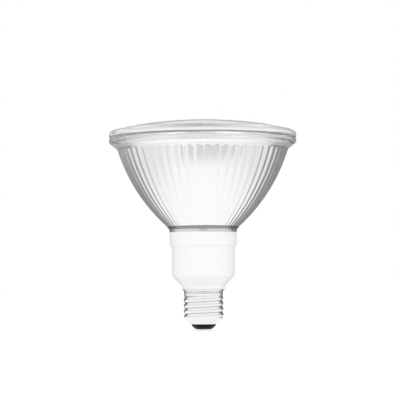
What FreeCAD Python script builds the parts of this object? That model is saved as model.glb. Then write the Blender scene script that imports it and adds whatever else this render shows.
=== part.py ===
import FreeCAD, Part
import math
import os
from FreeCAD import Vector

# A self-ballasted PAR38 reflector lamp for a medium screw holder, in millimetres.
# Z runs along the axis. The origin is the bottom of the centre contact, and +Z points to the lens.

# Screw base: contact, insulator and threaded shell
CONTACT_DIAMETER = 9.5
CONTACT_FLAT_DIAMETER = 6.4
CONTACT_RISE = 0.65
CONTACT_STEM_DIAMETER = 3.2
CONTACT_BORE_DIAMETER = 1.4
INSULATOR_MARGIN = 0.75
INSULATOR_RISE = 3.25
INSULATOR_ROUND = 1.6
INSULATOR_CONE_SHARE = 0.7
INSULATOR_WALL = 2.0
SHELL_WALL = 0.3
SHELL_EDGE_DIAMETER = 18.4
SHELL_EDGE_ROLL = 1.25
SHELL_CUP_HEIGHT = 4.2
SHELL_CUP_BULGE = 0.14
THREAD_DIAMETER = 26.2
THREAD_DEPTH = 0.85
THREAD_PITCH = 25.4 / 7
THREAD_TURNS = 3.9
THREAD_START_ANGLE = 208.0
THREAD_RUN_OUT = 1.7
BAND_STEP = 0.2
BAND_HEIGHT = 3.9
BAND_GROOVE_DEPTH = 0.35
BAND_GROOVE_WIDTH = 2.0
BAND_LIP = 0.55
BAND_LIP_HEIGHT = 0.9
STAKE_COUNT = 12
STAKE_DIAMETER = 1.3
STAKE_DEPTH = 0.22

# Plastic housing: a lower cup and an upper cap
HOUSING_WALL = 1.4
LOWER_DIAMETER = 40.4
LOWER_NECK_OVERHANG = 0.4
LOWER_NECK_HEIGHT = 2.1
LOWER_CONE_HEIGHT = 6.9
LOWER_CYLINDER_HEIGHT = 18.0
CONE_ROUND = 3.0
NECK_ROUND = 1.0
EDGE_ROUND = 0.3
SPIGOT_CLEARANCE = 0.35
SPIGOT_DROP = 12.5
TONGUE_STEP = 0.3
TONGUE_WALL = 1.1
TONGUE_HEIGHT = 4.6
SNAP_BEAD = 0.25
UPPER_OVERHANG = 1.35
UPPER_HEIGHT = 9.75
UPPER_BEVEL = 1.3
DECK_THICKNESS = 1.8
POST_DIAMETER = 2.4
POST_COUNT = 3

# Circuit board
BOARD_THICKNESS = 1.6
BOARD_DROP = 2.9
BOARD_LEDGE = 1.2

# Neck ring of sheet metal
RING_OVERHANG = 0.25
RING_SHEET = 0.35
RING_HEIGHT = 1.7
RING_FLARE_HEIGHT = 1.55
RING_FLANGE_WIDTH = 2.6

# Fluted glass reflector
RIM_DIAMETER = 121.0
RIM_LEDGE = 5.3
RIM_CONE_HEIGHT = 4.2
RIM_LAND_HEIGHT = 2.3
RIM_ROUND = 1.5
RIM_EDGE_ROUND = 0.7
BOWL_DEPTH = 51.1
BOWL_BULGE = 4.26
BOWL_WALL = 3.0
BOWL_FOOT_STEP = 0.75
BOWL_FOOT_RISE = 2.55
FLUTE_COUNT = 56
FLUTE_RELIEF = 0.0095
FLUTE_FOOT_SETBACK = 0.4
SHOULDER_HEIGHT = 0.4
SHOULDER_TAPER = 2.0
SHOULDER_TAPER_DEPTH = 0.8
SHOULDER_PROUD = 0.15

# Lens and its seal
SEAL_THICKNESS = 0.5
SEAL_WIDTH = 4.0
SEAL_RECESS = 1.3
LENS_LAND_HEIGHT = 4.7
LENS_ROUND = 2.4
LENS_ROUND_SHARE = 0.95
LENS_FOOT_ROUND = 0.9
LENS_RISE = 6.5
LENS_THICKNESS = 3.2

# Burner: clear capsule, ceramic arc tube and the holder they stand in
ARC_TUBE_DIAMETER = 6.4
ARC_TUBE_LENGTH = 8.0
ARC_TUBE_WALL = 0.7
ARC_TUBE_ROUND_SHARE = 0.6
CAPILLARY_DIAMETER = 1.7
CAPILLARY_LENGTH = 5.0
ELECTRODE_DIAMETER = 0.7
ELECTRODE_OUTREACH = 1.0
ELECTRODE_INREACH = 1.2
FRAME_WIRE_DIAMETER = 0.7
FRAME_WIRE_GAP = 0.8
CAPSULE_WALL = 1.0
CAPSULE_GAP = 0.3
CAPSULE_HEADROOM = 0.3
CAPSULE_FOOTROOM = 0.4
CAPSULE_TIP_DIAMETER = 2.6
CAPSULE_TIP_HEIGHT = 1.8
PINCH_WIDTH = 10.8
PINCH_THICKNESS = 3.2
PINCH_HEIGHT = 9.6
FOIL_WIDTH = 2.2
FOIL_THICKNESS = 0.1
FOIL_LENGTH = 5.0
HOLDER_DIAMETER = 18.0
HOLDER_HEIGHT = 8.4
HOLDER_FLANGE_WIDTH = 2.5
HOLDER_FLANGE_THICKNESS = 1.6
SLOT_MARGIN = 0.6
SHIELD_THICKNESS = 0.4
CEMENT_WIDTH = 2.6

# Parts on the circuit board
LEAD_DIAMETER = 0.7
LEAD_STUB = 1.0
STANDOFF = 0.8
BULK_CAPACITOR_DIAMETER = 10.0
BULK_CAPACITOR_HEIGHT = 19.5
BULK_CAPACITOR_PITCH = 5.0
BEAD_HEIGHT = 0.4
BEAD_DROP = 2.0
CORE_WIDTH = 12.6
CORE_HEIGHT = 10.4
CORE_DEPTH = 5.0
CORE_LEG = 2.6
CORE_SIDE = 1.56
BOBBIN_WALL = 0.7
BOBBIN_FLANGE = 1.2
WINDING_DEPTH = 0.9
DRUM_DIAMETER = 7.6
DRUM_NECK_DIAMETER = 3.8
DRUM_HEIGHT = 9.0
DRUM_FLANGE = 1.3
DRUM_PIN_SHARE = 0.6
DRUM_WINDING_SETBACK = 0.4
COIL_CORE_DIAMETER = 8.6
COIL_CORE_BORE = 3.8
COIL_CORE_WIDTH = 4.0
COIL_WINDING = 0.8
WINDING_ROUND_SHARE = 0.8
COIL_GAP = 40
FILM_CAPACITOR_WIDTH = 8.0
FILM_CAPACITOR_DEPTH = 4.0
FILM_CAPACITOR_HEIGHT = 7.0
SMALL_CAPACITOR_WIDTH = 6.0
SMALL_CAPACITOR_DEPTH = 3.0
SMALL_CAPACITOR_HEIGHT = 5.6
CAPACITOR_LEAD_MARGIN = 1.1
CAPACITOR_LEAD_SHARE = 0.1
TRANSISTOR_WIDTH = 7.6
TRANSISTOR_DEPTH = 2.7
TRANSISTOR_HEIGHT = 6.6
TRANSISTOR_HOLE_DIAMETER = 1.8
TRANSISTOR_LEAD_PITCH = 2.3
CHIP_WIDTH = 8.6
CHIP_DEPTH = 3.8
CHIP_HEIGHT = 1.5
CHIP_LEG_PITCH = 1.95
CHIP_LEGS_A_SIDE = 4
CHIP_LEG_WIDTH = 0.5
CHIP_LEG_REACH = 1.0
CHIP_LEG_SHEET = 0.2
DIODE_DIAMETER = 2.5
DIODE_LENGTH = 4.4
DIODE_PITCH = 2.9
DIODE_COUNT = 4
DIODE_LEAD_REACH = 1.2
THERMISTOR_DIAMETER = 4.6
THERMISTOR_THICKNESS = 2.0
SPARK_GAP_DIAMETER = 3.0
SPARK_GAP_LENGTH = 4.4
FUSE_DIAMETER = 2.8
FUSE_LENGTH = 6.4
FUSE_LEAD = 1.6
SUPPLY_WIRE_DIAMETER = 1.2
SUPPLY_WIRE_BEND_SHARE = 0.6
SUPPLY_WIRE_BEND = 2.0

# Clearances
FIT = 0.1
EDGE_MARGIN = 0.5
HOLE_CLEARANCE = 0.1

# Where the parts stand round the board, in degrees from +X
TRANSFORMER_ANGLE = 90
CHOKE_ANGLE = 217
IGNITER_ANGLE = 270
FILM_CAPACITOR_ANGLE = 12
TRANSISTOR_ANGLES = (50, 130)
DIODE_ANGLE = 171
THERMISTOR_ANGLE = 242
SMALL_CAPACITOR_ANGLE = 346
SPARK_GAP_ANGLE = 292
CHIP_ANGLE = 358
POST_ANGLE = 90
FLUTE_ANGLE = 3.2
LINE_WIRE_ANGLE = 135
NEUTRAL_WIRE_ANGLE = 315

# Heights along the axis, from the contact up
insulator_foot = CONTACT_RISE
shell_foot = insulator_foot + INSULATOR_RISE
thread_foot = shell_foot + SHELL_CUP_HEIGHT
band_foot = thread_foot + THREAD_TURNS * THREAD_PITCH
shell_top = band_foot + BAND_HEIGHT
housing_foot = shell_top + FIT
cone_foot = housing_foot + LOWER_NECK_HEIGHT
cylinder_foot = cone_foot + LOWER_CONE_HEIGHT
upper_foot = cylinder_foot + LOWER_CYLINDER_HEIGHT
deck_top = upper_foot + UPPER_HEIGHT
deck_bottom = deck_top - DECK_THICKNESS
board_bottom = upper_foot - BOARD_DROP
board_top = board_bottom + BOARD_THICKNESS
bowl_foot = deck_top + BOWL_FOOT_RISE
bowl_mouth = bowl_foot + BOWL_DEPTH
rim_land_foot = bowl_mouth + RIM_CONE_HEIGHT
rim_top = rim_land_foot + RIM_LAND_HEIGHT
lens_foot = rim_top + SEAL_THICKNESS
lens_land_top = lens_foot + LENS_LAND_HEIGHT
lens_top = lens_land_top + LENS_RISE
holder_top = deck_top + HOLDER_FLANGE_THICKNESS
holder_bottom = deck_top - HOLDER_HEIGHT
pinch_top = deck_top - SLOT_MARGIN
pinch_bottom = pinch_top - PINCH_HEIGHT
capillary_reach = ARC_TUBE_LENGTH / 2 + CAPILLARY_LENGTH
electrode_reach = capillary_reach + ELECTRODE_OUTREACH
arc_height = pinch_top + CAPSULE_WALL + CAPSULE_FOOTROOM + electrode_reach
capsule_dome = arc_height + electrode_reach + CAPSULE_HEADROOM
fuse_foot = insulator_foot + INSULATOR_RISE + INSULATOR_WALL + FUSE_LEAD
fuse_top = fuse_foot + FUSE_LENGTH
line_wire_foot = fuse_top + SUPPLY_WIRE_DIAMETER * 0.75
bulk_capacitor_foot = line_wire_foot + SUPPLY_WIRE_DIAMETER + EDGE_MARGIN

# Radii that several pieces share
shell_edge_radius = SHELL_EDGE_DIAMETER / 2
insulator_radius = shell_edge_radius - SHELL_EDGE_ROLL
thread_middle_radius = (THREAD_DIAMETER - THREAD_DEPTH) / 2
band_radius = THREAD_DIAMETER / 2 - BAND_STEP
spigot_radius = THREAD_DIAMETER / 2 - THREAD_DEPTH - SHELL_WALL - SPIGOT_CLEARANCE
spigot_bore_radius = spigot_radius - HOUSING_WALL
lower_neck_radius = band_radius + BAND_LIP + LOWER_NECK_OVERHANG
lower_radius = LOWER_DIAMETER / 2
upper_radius = lower_radius + UPPER_OVERHANG
tongue_radius = lower_radius - TONGUE_STEP
board_radius = tongue_radius - TONGUE_WALL - FIT
ledge_radius = board_radius - BOARD_LEDGE
ring_radius = upper_radius + RING_OVERHANG
neck_radius = ring_radius - RING_SHEET - FIT
neck_bore_radius = neck_radius - BOWL_WALL
rim_radius = RIM_DIAMETER / 2
frame_wire_side = ARC_TUBE_DIAMETER / 2 + FRAME_WIRE_GAP + FRAME_WIRE_DIAMETER / 2
capsule_bore_radius = frame_wire_side + FRAME_WIRE_DIAMETER / 2 + CAPSULE_GAP
capsule_radius = capsule_bore_radius + CAPSULE_WALL
wire_lane = (BULK_CAPACITOR_DIAMETER / 2 + spigot_bore_radius) / 2

# Holes that the leads need in the circuit board, as x, y and the lead's radius
board_holes = []


# Shared helpers

def rounded_edges(points, radii, closed):
    """Straight edges through the points, with a tangent arc at each point whose radius isn't zero."""
    count = len(points)
    starts = list(points)
    ends = list(points)
    arcs = {}
    for i in range(count):
        if radii[i] == 0:
            continue
        corner = points[i]
        back = (points[i - 1] - corner).normalize()
        ahead = (points[(i + 1) % count] - corner).normalize()
        half = back.getAngle(ahead) / 2
        starts[i] = corner + back * (radii[i] / math.tan(half))
        ends[i] = corner + ahead * (radii[i] / math.tan(half))
        inward = (back + ahead).normalize()
        crown = corner + inward * (radii[i] / math.sin(half) - radii[i])
        arcs[i] = Part.Arc(starts[i], crown, ends[i]).toShape()
    edges = []
    for i in range(count):
        if i in arcs:
            edges.append(arcs[i])
        if i == count - 1 and not closed:
            break
        following = starts[(i + 1) % count]
        if (following - ends[i]).Length > 1e-6:
            edges.append(Part.makeLine(ends[i], following))
    return edges


def lines(outline):
    """Straight edges through points (radius, height)."""
    points = [Vector(radius, 0, height) for radius, height in outline]
    return rounded_edges(points, [0] * len(points), False)


def turned(outline):
    """A solid turned about Z from corners (radius, height) or (radius, height, rounding)."""
    points = [Vector(corner[0], 0, corner[1]) for corner in outline]
    radii = [corner[2] if len(corner) > 2 else 0 for corner in outline]
    return turned_edges(rounded_edges(points, radii, True))


def turned_edges(edges):
    face = Part.Face(Part.Wire(edges))
    return face.revolve(Vector(0, 0, 0), Vector(0, 0, 1), 360)


def solid_from(faces):
    """A solid from faces that close it."""
    skin = Part.makeShell(faces)
    skin.sewShape()
    solid = Part.Solid(skin)
    if solid.Volume < 0:
        solid.reverse()
    return solid


def disc(radius, bottom, top):
    return Part.makeCylinder(radius, top - bottom, Vector(0, 0, bottom))


def ring(outer, inner, bottom, top):
    return disc(outer, bottom, top).cut(disc(inner, bottom - FIT, top + FIT))


def rod(start, end, radius):
    return Part.makeCylinder(radius, (end - start).Length, start, end - start)


def block(width, depth, bottom, top):
    """A box centred on the axis between two heights."""
    return Part.makeBox(width, depth, top - bottom, Vector(-width / 2, -depth / 2, bottom))


def upright_edges(shape):
    height = shape.BoundBox.ZLength
    return [edge for edge in shape.Edges if edge.BoundBox.ZLength > height / 2]


def bent_wire(points, radius, bend):
    """A round wire through the points, with the same bend at each inner point."""
    radii = [0] + [bend] * (len(points) - 2) + [0]
    path = Part.Wire(rounded_edges(points, radii, False))
    section = Part.Wire(Part.makeCircle(radius, points[0], points[1] - points[0]))
    return path.makePipeShell([section], True, True)


def polar(radius, angle, height):
    turn = math.radians(angle)
    return Vector(radius * math.cos(turn), radius * math.sin(turn), height)


def shifted(shape, x, y):
    shape = shape.copy()
    shape.translate(Vector(x, y, 0))
    return shape


def moved(shape, out, angle):
    """The shape carried out from the axis along an angle: its X runs across, its Y points out."""
    shape = shape.copy()
    shape.rotate(Vector(0, 0, 0), Vector(0, 0, 1), angle - 90)
    shape.translate(polar(out, angle, 0))
    return shape


def spot(across, away, out, angle):
    """Where a point of such a shape ends up."""
    return moved(Part.Vertex(across, away, 0), out, angle).Point


def drill(place, diameter):
    board_holes.append((place.x, place.y, diameter / 2))


def around_axis(shape, count, offset):
    """Copies of the shape at even steps about Z."""
    copies = []
    for i in range(count):
        copy = shape.copy()
        copy.rotate(Vector(0, 0, 0), Vector(0, 0, 1), offset + 360 * i / count)
        copies.append(copy)
    return copies


def joined(shapes):
    return shapes[0].fuse(shapes[1:]).removeSplitter()


def arc_centre(start, end, sagitta):
    """Centre and radius of an arc that bulges away from the axis and down, given its chord."""
    chord = end - start
    radius = (chord.Length / 2) ** 2 / (2 * sagitta) + sagitta / 2
    inward = Vector(-chord.z, 0, chord.x).normalize()
    return (start + end) / 2 + inward * (radius - sagitta), radius


# Bowl profile, which the reflector, the neck ring and the flutes share

bowl_centre, bowl_arc_radius = arc_centre(
    Vector(neck_radius + BOWL_FOOT_STEP, 0, bowl_foot),
    Vector(rim_radius - RIM_LEDGE, 0, bowl_mouth),
    BOWL_BULGE,
)


def bowl_radius(height, inset=0):
    """Radius of the bowl at a height, on its crests or at a depth below them."""
    arc = bowl_arc_radius - inset
    return bowl_centre.x + math.sqrt(arc ** 2 - (height - bowl_centre.z) ** 2)


def bowl_height(radius, inset=0):
    """Height at which the bowl has a radius, on its crests or at a depth below them."""
    arc = bowl_arc_radius - inset
    return bowl_centre.z - math.sqrt(arc ** 2 - (radius - bowl_centre.x) ** 2)


def bowl_arc(bottom, top, inset):
    """The bowl's meridian between two heights, as an edge."""
    heights = (bottom, (bottom + top) / 2, top)
    points = [Vector(bowl_radius(height, inset), 0, height) for height in heights]
    return Part.Arc(*points).toShape()


# Screw base

def cup_radius(height):
    """Outer radius of the shell's closed-in foot, which swells a little from a cone."""
    share = (height - shell_foot) / SHELL_CUP_HEIGHT
    swollen = share + SHELL_CUP_BULGE * share * (1 - share)
    return shell_edge_radius + (thread_middle_radius - shell_edge_radius) * swollen


def smooth_step(value):
    value = min(max(value, 0), 1)
    return value * value * (3 - 2 * value)


def shell_radius(height, angle, gain):
    """Outer radius of the shell: foot, rolled thread, a groove, then a plain band with a small lip."""
    if height < thread_foot:
        radius = cup_radius(height)
    else:
        into_band = smooth_step((height - band_foot) / THREAD_RUN_OUT + 0.5)
        radius = thread_middle_radius + (band_radius - thread_middle_radius) * into_band
    groove = min(abs(height - band_foot) / (BAND_GROOVE_WIDTH / 2), 1)
    radius -= BAND_GROOVE_DEPTH * (1 - groove ** 2) ** 2
    radius += BAND_LIP * smooth_step((height - shell_top) / BAND_LIP_HEIGHT + 1)
    fade = smooth_step((height - thread_foot) / THREAD_RUN_OUT + 0.5)
    fade *= smooth_step((band_foot - height) / THREAD_RUN_OUT)
    phase = 2 * math.pi * (height - thread_foot) / THREAD_PITCH - angle
    phase -= math.radians(THREAD_START_ANGLE)
    return radius + gain * fade * THREAD_DEPTH / 2 * math.cos(phase)


def shell_surface(inset):
    """The shell's outer or inner face: a cubic surface, closed round the axis, from the radius formula."""
    around = 24
    rows_a_turn = 8
    degree = 3
    spans = math.ceil((shell_top - shell_foot) / THREAD_PITCH * rows_a_turn)
    step = (shell_top - shell_foot) / spans
    knots = [shell_foot + step * i for i in range(spans + 1)]
    padded = [knots[0]] * degree + knots + [knots[-1]] * degree
    heights = [sum(padded[i + 1:i + 1 + degree]) / degree for i in range(spans + degree)]
    swell = 3 / (2 + math.cos(2 * math.pi / around))
    gain = 3 / (2 + math.cos(2 * math.pi * step / THREAD_PITCH))
    poles = []
    for i in range(around):
        angle = 2 * math.pi * i / around
        radii = [(shell_radius(height, angle, gain) - inset) * swell for height in heights]
        poles.append([Vector(radius * math.cos(angle), radius * math.sin(angle), height)
                      for radius, height in zip(radii, heights)])
    surface = Part.BSplineSurface()
    surface.buildFromPolesMultsKnots(
        poles,
        [1] * (around + 1),
        [degree + 1] + [1] * (spans - 1) + [degree + 1],
        [float(i) for i in range(around + 1)],
        knots,
        True,
        False,
        degree,
        degree,
    )
    return surface.toShape()


def stake(extra):
    """The ball of a punch mark near the band's top, or a larger ball round it."""
    height = shell_top - BAND_LIP_HEIGHT - STAKE_DIAMETER
    centre = Vector(band_radius + STAKE_DIAMETER / 2 - STAKE_DEPTH, 0, height)
    return Part.makeSphere(STAKE_DIAMETER / 2 + extra, centre)


def end_loops(face):
    """The closed edges at a turned face's foot and top."""
    loops = [edge for edge in face.Edges if edge.isClosed()]
    return sorted(loops, key=lambda edge: edge.BoundBox.ZMin)


def screw_shell():
    """Thin rolled shell: thread, foot lip and the punch marks that hold it on the spigot."""
    outer = shell_surface(0)
    inner = shell_surface(SHELL_WALL)
    faces = outer.Faces + inner.Faces
    for outer_loop, inner_loop in zip(end_loops(outer), end_loops(inner)):
        faces += Part.makeRuledSurface(outer_loop, inner_loop).Faces
    shell = solid_from(faces)
    lip = ring(shell_edge_radius - SHELL_WALL / 2, insulator_radius + FIT,
               shell_foot, shell_foot + SHELL_WALL)
    inside = disc(band_radius - SHELL_WALL / 2, band_foot, shell_top)
    dimple = stake(SHELL_WALL).cut(stake(0)).common(inside)
    marks = around_axis(stake(0), STAKE_COUNT, POST_ANGLE)
    dimples = around_axis(dimple, STAKE_COUNT, POST_ANGLE)
    return shell.cut(marks).fuse([lip] + dimples)


def base_insulator():
    """Glass plug: a rounded nose below the shell, and a cone that fills the shell's foot."""
    lip_top = shell_foot + SHELL_WALL + FIT
    cone_top = thread_foot - THREAD_RUN_OUT / 2
    inner_gap = SHELL_WALL + FIT
    stem = CONTACT_STEM_DIAMETER / 2 + HOLE_CLEARANCE
    floor = shell_foot + INSULATOR_WALL / 2
    return turned([
        (stem, insulator_foot),
        (CONTACT_DIAMETER / 2 + INSULATOR_MARGIN, insulator_foot, INSULATOR_ROUND),
        (insulator_radius, insulator_foot + INSULATOR_RISE * INSULATOR_CONE_SHARE, INSULATOR_ROUND),
        (insulator_radius, lip_top),
        (cup_radius(lip_top) - inner_gap, lip_top),
        (cup_radius(cone_top) - inner_gap, cone_top),
        (cup_radius(cone_top) - inner_gap - INSULATOR_WALL, cone_top),
        (stem + INSULATOR_WALL, floor),
        (stem, floor),
    ])


def centre_contact():
    """Contact plate with a hollow stem up through the insulator."""
    edge = CONTACT_DIAMETER / 2
    stem = CONTACT_STEM_DIAMETER / 2
    bore = CONTACT_BORE_DIAMETER / 2
    top = shell_foot + INSULATOR_WALL
    return turned([
        (0, 0),
        (CONTACT_FLAT_DIAMETER / 2, 0),
        (edge, CONTACT_RISE / 2, CONTACT_RISE / 4),
        (edge, CONTACT_RISE),
        (stem, CONTACT_RISE),
        (stem, top),
        (bore, top),
        (bore, CONTACT_RISE * 2),
        (0, CONTACT_RISE * 2),
    ])


# Housing

def neutral_wire_height():
    """Height at which the neutral wire crosses the spigot, level with the punch marks."""
    return shell_top - BAND_LIP_HEIGHT - STAKE_DIAMETER


def neutral_wire_hole():
    start = polar(spigot_bore_radius - HOUSING_WALL, NEUTRAL_WIRE_ANGLE, neutral_wire_height())
    end = polar(lower_neck_radius, NEUTRAL_WIRE_ANGLE, neutral_wire_height())
    return rod(start, end, SUPPLY_WIRE_DIAMETER / 2 + HOLE_CLEARANCE)


def snap_bead_height():
    return upper_foot + TONGUE_HEIGHT / 2


def lower_housing():
    """Moulded cup: a spigot inside the screw shell, a cone, a cylinder, and a tongue in the cap."""
    band_bore = band_radius - SHELL_WALL - FIT
    groove_bore = band_bore - BAND_GROOVE_DEPTH
    slope = (lower_radius - lower_neck_radius) / LOWER_CONE_HEIGHT
    cone_wall = HOUSING_WALL * math.sqrt(1 + slope ** 2)
    bead = snap_bead_height()
    tongue_bore = tongue_radius - TONGUE_WALL

    def cone_inside(radius):
        return cone_foot + (radius + cone_wall - lower_neck_radius) / slope

    shape = turned([
        (spigot_bore_radius, band_foot - SPIGOT_DROP),
        (spigot_radius, band_foot - SPIGOT_DROP),
        (spigot_radius, band_foot - BAND_GROOVE_WIDTH),
        (min(spigot_radius, groove_bore - FIT), band_foot - BAND_GROOVE_WIDTH / 2),
        (min(spigot_radius, groove_bore - FIT), band_foot + BAND_GROOVE_WIDTH / 4),
        (band_bore, band_foot + BAND_GROOVE_WIDTH),
        (band_bore, housing_foot),
        (lower_neck_radius, housing_foot, EDGE_ROUND),
        (lower_neck_radius, cone_foot, NECK_ROUND),
        (lower_radius, cylinder_foot, CONE_ROUND),
        (lower_radius, upper_foot),
        (tongue_radius, upper_foot),
        (tongue_radius, bead - SNAP_BEAD * 2),
        (tongue_radius + SNAP_BEAD, bead),
        (tongue_radius, bead + SNAP_BEAD * 2),
        (tongue_radius, upper_foot + TONGUE_HEIGHT),
        (tongue_bore, upper_foot + TONGUE_HEIGHT),
        (tongue_bore, board_bottom),
        (ledge_radius, board_bottom),
        (ledge_radius, cone_inside(ledge_radius)),
        (spigot_bore_radius, cone_inside(spigot_bore_radius)),
    ])
    marks = around_axis(stake(SHELL_WALL + FIT), STAKE_COUNT, POST_ANGLE)
    return shape.cut(marks + [neutral_wire_hole()])


def upper_housing():
    """Moulded cap: a skirt over the cup's tongue, a deck that carries the burner, hold-down posts."""
    bore = tongue_radius + FIT
    bead = snap_bead_height()
    groove = SNAP_BEAD + FIT
    hole = HOLDER_DIAMETER / 2 + FIT
    cap = turned([
        (bore, upper_foot),
        (lower_radius + FIT, upper_foot),
        (upper_radius, upper_foot + UPPER_BEVEL, EDGE_ROUND),
        (upper_radius, deck_top, EDGE_ROUND),
        (hole, deck_top),
        (hole, deck_bottom),
        (bore, deck_bottom),
        (bore, bead + groove * 2),
        (bore + SNAP_BEAD, bead),
        (bore, bead - groove * 2),
    ])
    post = disc(POST_DIAMETER / 2, board_top, deck_bottom + DECK_THICKNESS / 2)
    post.translate(Vector(board_radius - POST_DIAMETER / 2 - EDGE_MARGIN, 0, 0))
    return joined([cap] + around_axis(post, POST_COUNT, POST_ANGLE))


# Reflector, its ring and the lens

def neck_ring():
    """Drawn sheet ring: a flange on the deck, a plain wall, and a lip that follows the bowl."""
    turn = deck_top + RING_HEIGHT
    top = turn + RING_FLARE_HEIGHT
    bore = ring_radius - RING_SHEET
    inner_turn = max(bowl_radius(turn) + FIT / 2, bore)
    inner_top = bowl_radius(top) + FIT / 2
    return turned([
        (bore - RING_FLANGE_WIDTH, deck_top),
        (ring_radius, deck_top, EDGE_ROUND),
        (ring_radius, turn + bore - inner_turn),
        (inner_turn + RING_SHEET, turn),
        (inner_top + RING_SHEET, top),
        (inner_top, top),
        (inner_turn, turn),
        (bore, turn + bore - inner_turn),
        (bore, deck_top + RING_SHEET),
        (bore - RING_FLANGE_WIDTH, deck_top + RING_SHEET),
    ])


def meridian_poles(bottom, top):
    """Radii and heights of the four poles of a cubic curve that follows the bowl's arc."""
    first = math.asin((bottom - bowl_centre.z) / bowl_arc_radius)
    last = math.asin((top - bowl_centre.z) / bowl_arc_radius)
    pull = 4 / 3 * math.tan((last - first) / 4) * bowl_arc_radius
    poles = []
    for angle, reach in ((first, pull), (last, -pull)):
        radius = bowl_centre.x + bowl_arc_radius * math.cos(angle)
        height = bowl_centre.z + bowl_arc_radius * math.sin(angle)
        poles.append((radius, height))
        poles.append((radius - reach * math.sin(angle), height + reach * math.cos(angle)))
    return [poles[0], poles[1], poles[3], poles[2]]


def flute_sections(bottom, top):
    """Poles of one flute: left valley, crown and right valley, each up the bowl."""
    half = 180 / FLUTE_COUNT
    valley = 1 - FLUTE_RELIEF
    crown = 2 - valley * math.cos(math.radians(half))
    meridian = meridian_poles(bottom, top)
    sections = []
    for angle, share in ((-half, valley), (0, crown), (half, valley)):
        sections.append([polar(radius * share, angle, height) for radius, height in meridian])
    return sections


def fluted_body(bottom, top):
    """Solid bowl with convex flutes that meet in sharp valleys."""
    sections = flute_sections(bottom, top)
    surface = Part.BSplineSurface()
    surface.buildFromPolesMultsKnots(sections, [3, 3], [4, 4], [0, 1], [0, 1], False, False, 2, 3)
    faces = around_axis(surface.toShape(), FLUTE_COUNT, FLUTE_ANGLE)
    for row in (0, -1):
        curve = Part.BezierCurve()
        curve.setPoles([section[row] for section in sections])
        border = Part.Wire(around_axis(curve.toShape(), FLUTE_COUNT, FLUTE_ANGLE))
        faces.append(Part.Face(border))
    return solid_from(faces)


def reflector_head():
    """Solid shoulder and rim: the shoulder tapers into the flutes, so that each ends in an arch."""
    shoulder = bowl_mouth - SHOULDER_HEIGHT
    taper_foot = shoulder - SHOULDER_TAPER
    taper_radius = bowl_radius(taper_foot) - SHOULDER_TAPER_DEPTH
    shoulder_radius = bowl_radius(shoulder, -SHOULDER_PROUD)
    edges = lines([(0, taper_foot), (taper_radius, taper_foot), (shoulder_radius, shoulder)])
    edges.append(bowl_arc(shoulder, bowl_mouth, -SHOULDER_PROUD))
    edges += rounded_edges([
        Vector(bowl_radius(bowl_mouth, -SHOULDER_PROUD), 0, bowl_mouth),
        Vector(rim_radius, 0, rim_land_foot),
        Vector(rim_radius, 0, rim_top),
        Vector(0, 0, rim_top),
    ], [0, RIM_ROUND, RIM_EDGE_ROUND, 0], False)
    edges += lines([(0, rim_top), (0, taper_foot)])
    return turned_edges(edges)


def reflector_cavity():
    """Space inside the bowl: a straight neck, then the mirror's curve, a wall's depth in the glass."""
    turn = bowl_height(neck_bore_radius, BOWL_WALL)
    mouth = bowl_radius(rim_top, BOWL_WALL)
    edges = lines([(0, deck_top), (neck_bore_radius, deck_top), (neck_bore_radius, turn)])
    edges.append(bowl_arc(turn, rim_top, BOWL_WALL))
    edges += lines([(mouth, rim_top), (mouth, lens_foot), (0, lens_foot), (0, deck_top)])
    return turned_edges(edges)


def reflector():
    """Pressed glass bowl: neck, fluted wall, smooth shoulder and rim."""
    flute_foot = bowl_foot - FLUTE_FOOT_SETBACK
    fluted = fluted_body(flute_foot, bowl_mouth - FIT)
    neck = disc(neck_radius, deck_top + RING_SHEET + FIT / 2, flute_foot + BOWL_WALL)
    return fluted.fuse([neck, reflector_head()]).cut(reflector_cavity())


def lens_sealant():
    outer = rim_radius - SEAL_RECESS
    return ring(outer, outer - SEAL_WIDTH, rim_top, lens_foot)


def front_lens():
    """Clear domed glass on the bowl's rim, with a well rounded edge."""
    edge = rim_radius - LENS_ROUND
    mouth = bowl_radius(rim_top, BOWL_WALL)
    dome = (edge ** 2 + LENS_RISE ** 2) / (2 * LENS_RISE)
    centre = lens_top - dome

    def on_dome(radius, inset):
        return Vector(radius, 0, centre + math.sqrt((dome - inset) ** 2 - radius ** 2))

    slope = math.asin(edge / dome)
    reach = LENS_ROUND_SHARE * LENS_ROUND / math.cos(slope)
    upper = [on_dome(edge * share, 0) for share in (0, 0.5, 1)]
    under = [on_dome((mouth - FIT) * share, LENS_THICKNESS) for share in (1, 0.5, 0)]
    land = [
        upper[-1],
        Vector(rim_radius, 0, lens_land_top - LENS_ROUND * math.tan(slope)),
        Vector(rim_radius, 0, lens_foot),
        Vector(mouth, 0, lens_foot),
        under[0],
    ]
    edges = [Part.Arc(*upper).toShape()]
    edge_round = reach / math.tan((math.pi / 2 - slope) / 2)
    edges += rounded_edges(land, [0, edge_round, LENS_FOOT_ROUND, 0, 0], False)
    edges += [Part.Arc(*under).toShape(), Part.makeLine(under[-1], upper[0])]
    return turned_edges(edges)


# Burner

def capsule():
    """Clear capsule: a closed tube on a flat pinch, which holds the leads and their foils."""
    tip = CAPSULE_TIP_DIAMETER / 2
    tip_height = capsule_dome + capsule_radius + CAPSULE_TIP_HEIGHT - tip
    outside = joined([
        disc(capsule_radius, pinch_top, capsule_dome),
        Part.makeSphere(capsule_radius, Vector(0, 0, capsule_dome)),
        disc(tip, capsule_dome, tip_height),
        Part.makeSphere(tip, Vector(0, 0, tip_height)),
        block(PINCH_WIDTH, PINCH_THICKNESS, pinch_bottom, pinch_top + CAPSULE_WALL),
    ])
    hollow_foot = pinch_top + CAPSULE_WALL
    hollow = disc(capsule_bore_radius, hollow_foot, capsule_dome)
    hollow = hollow.fuse(Part.makeSphere(capsule_bore_radius, Vector(0, 0, capsule_dome)))
    return outside.cut([hollow] + frame_wires() + pinch_foils() + capsule_pins())


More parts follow.
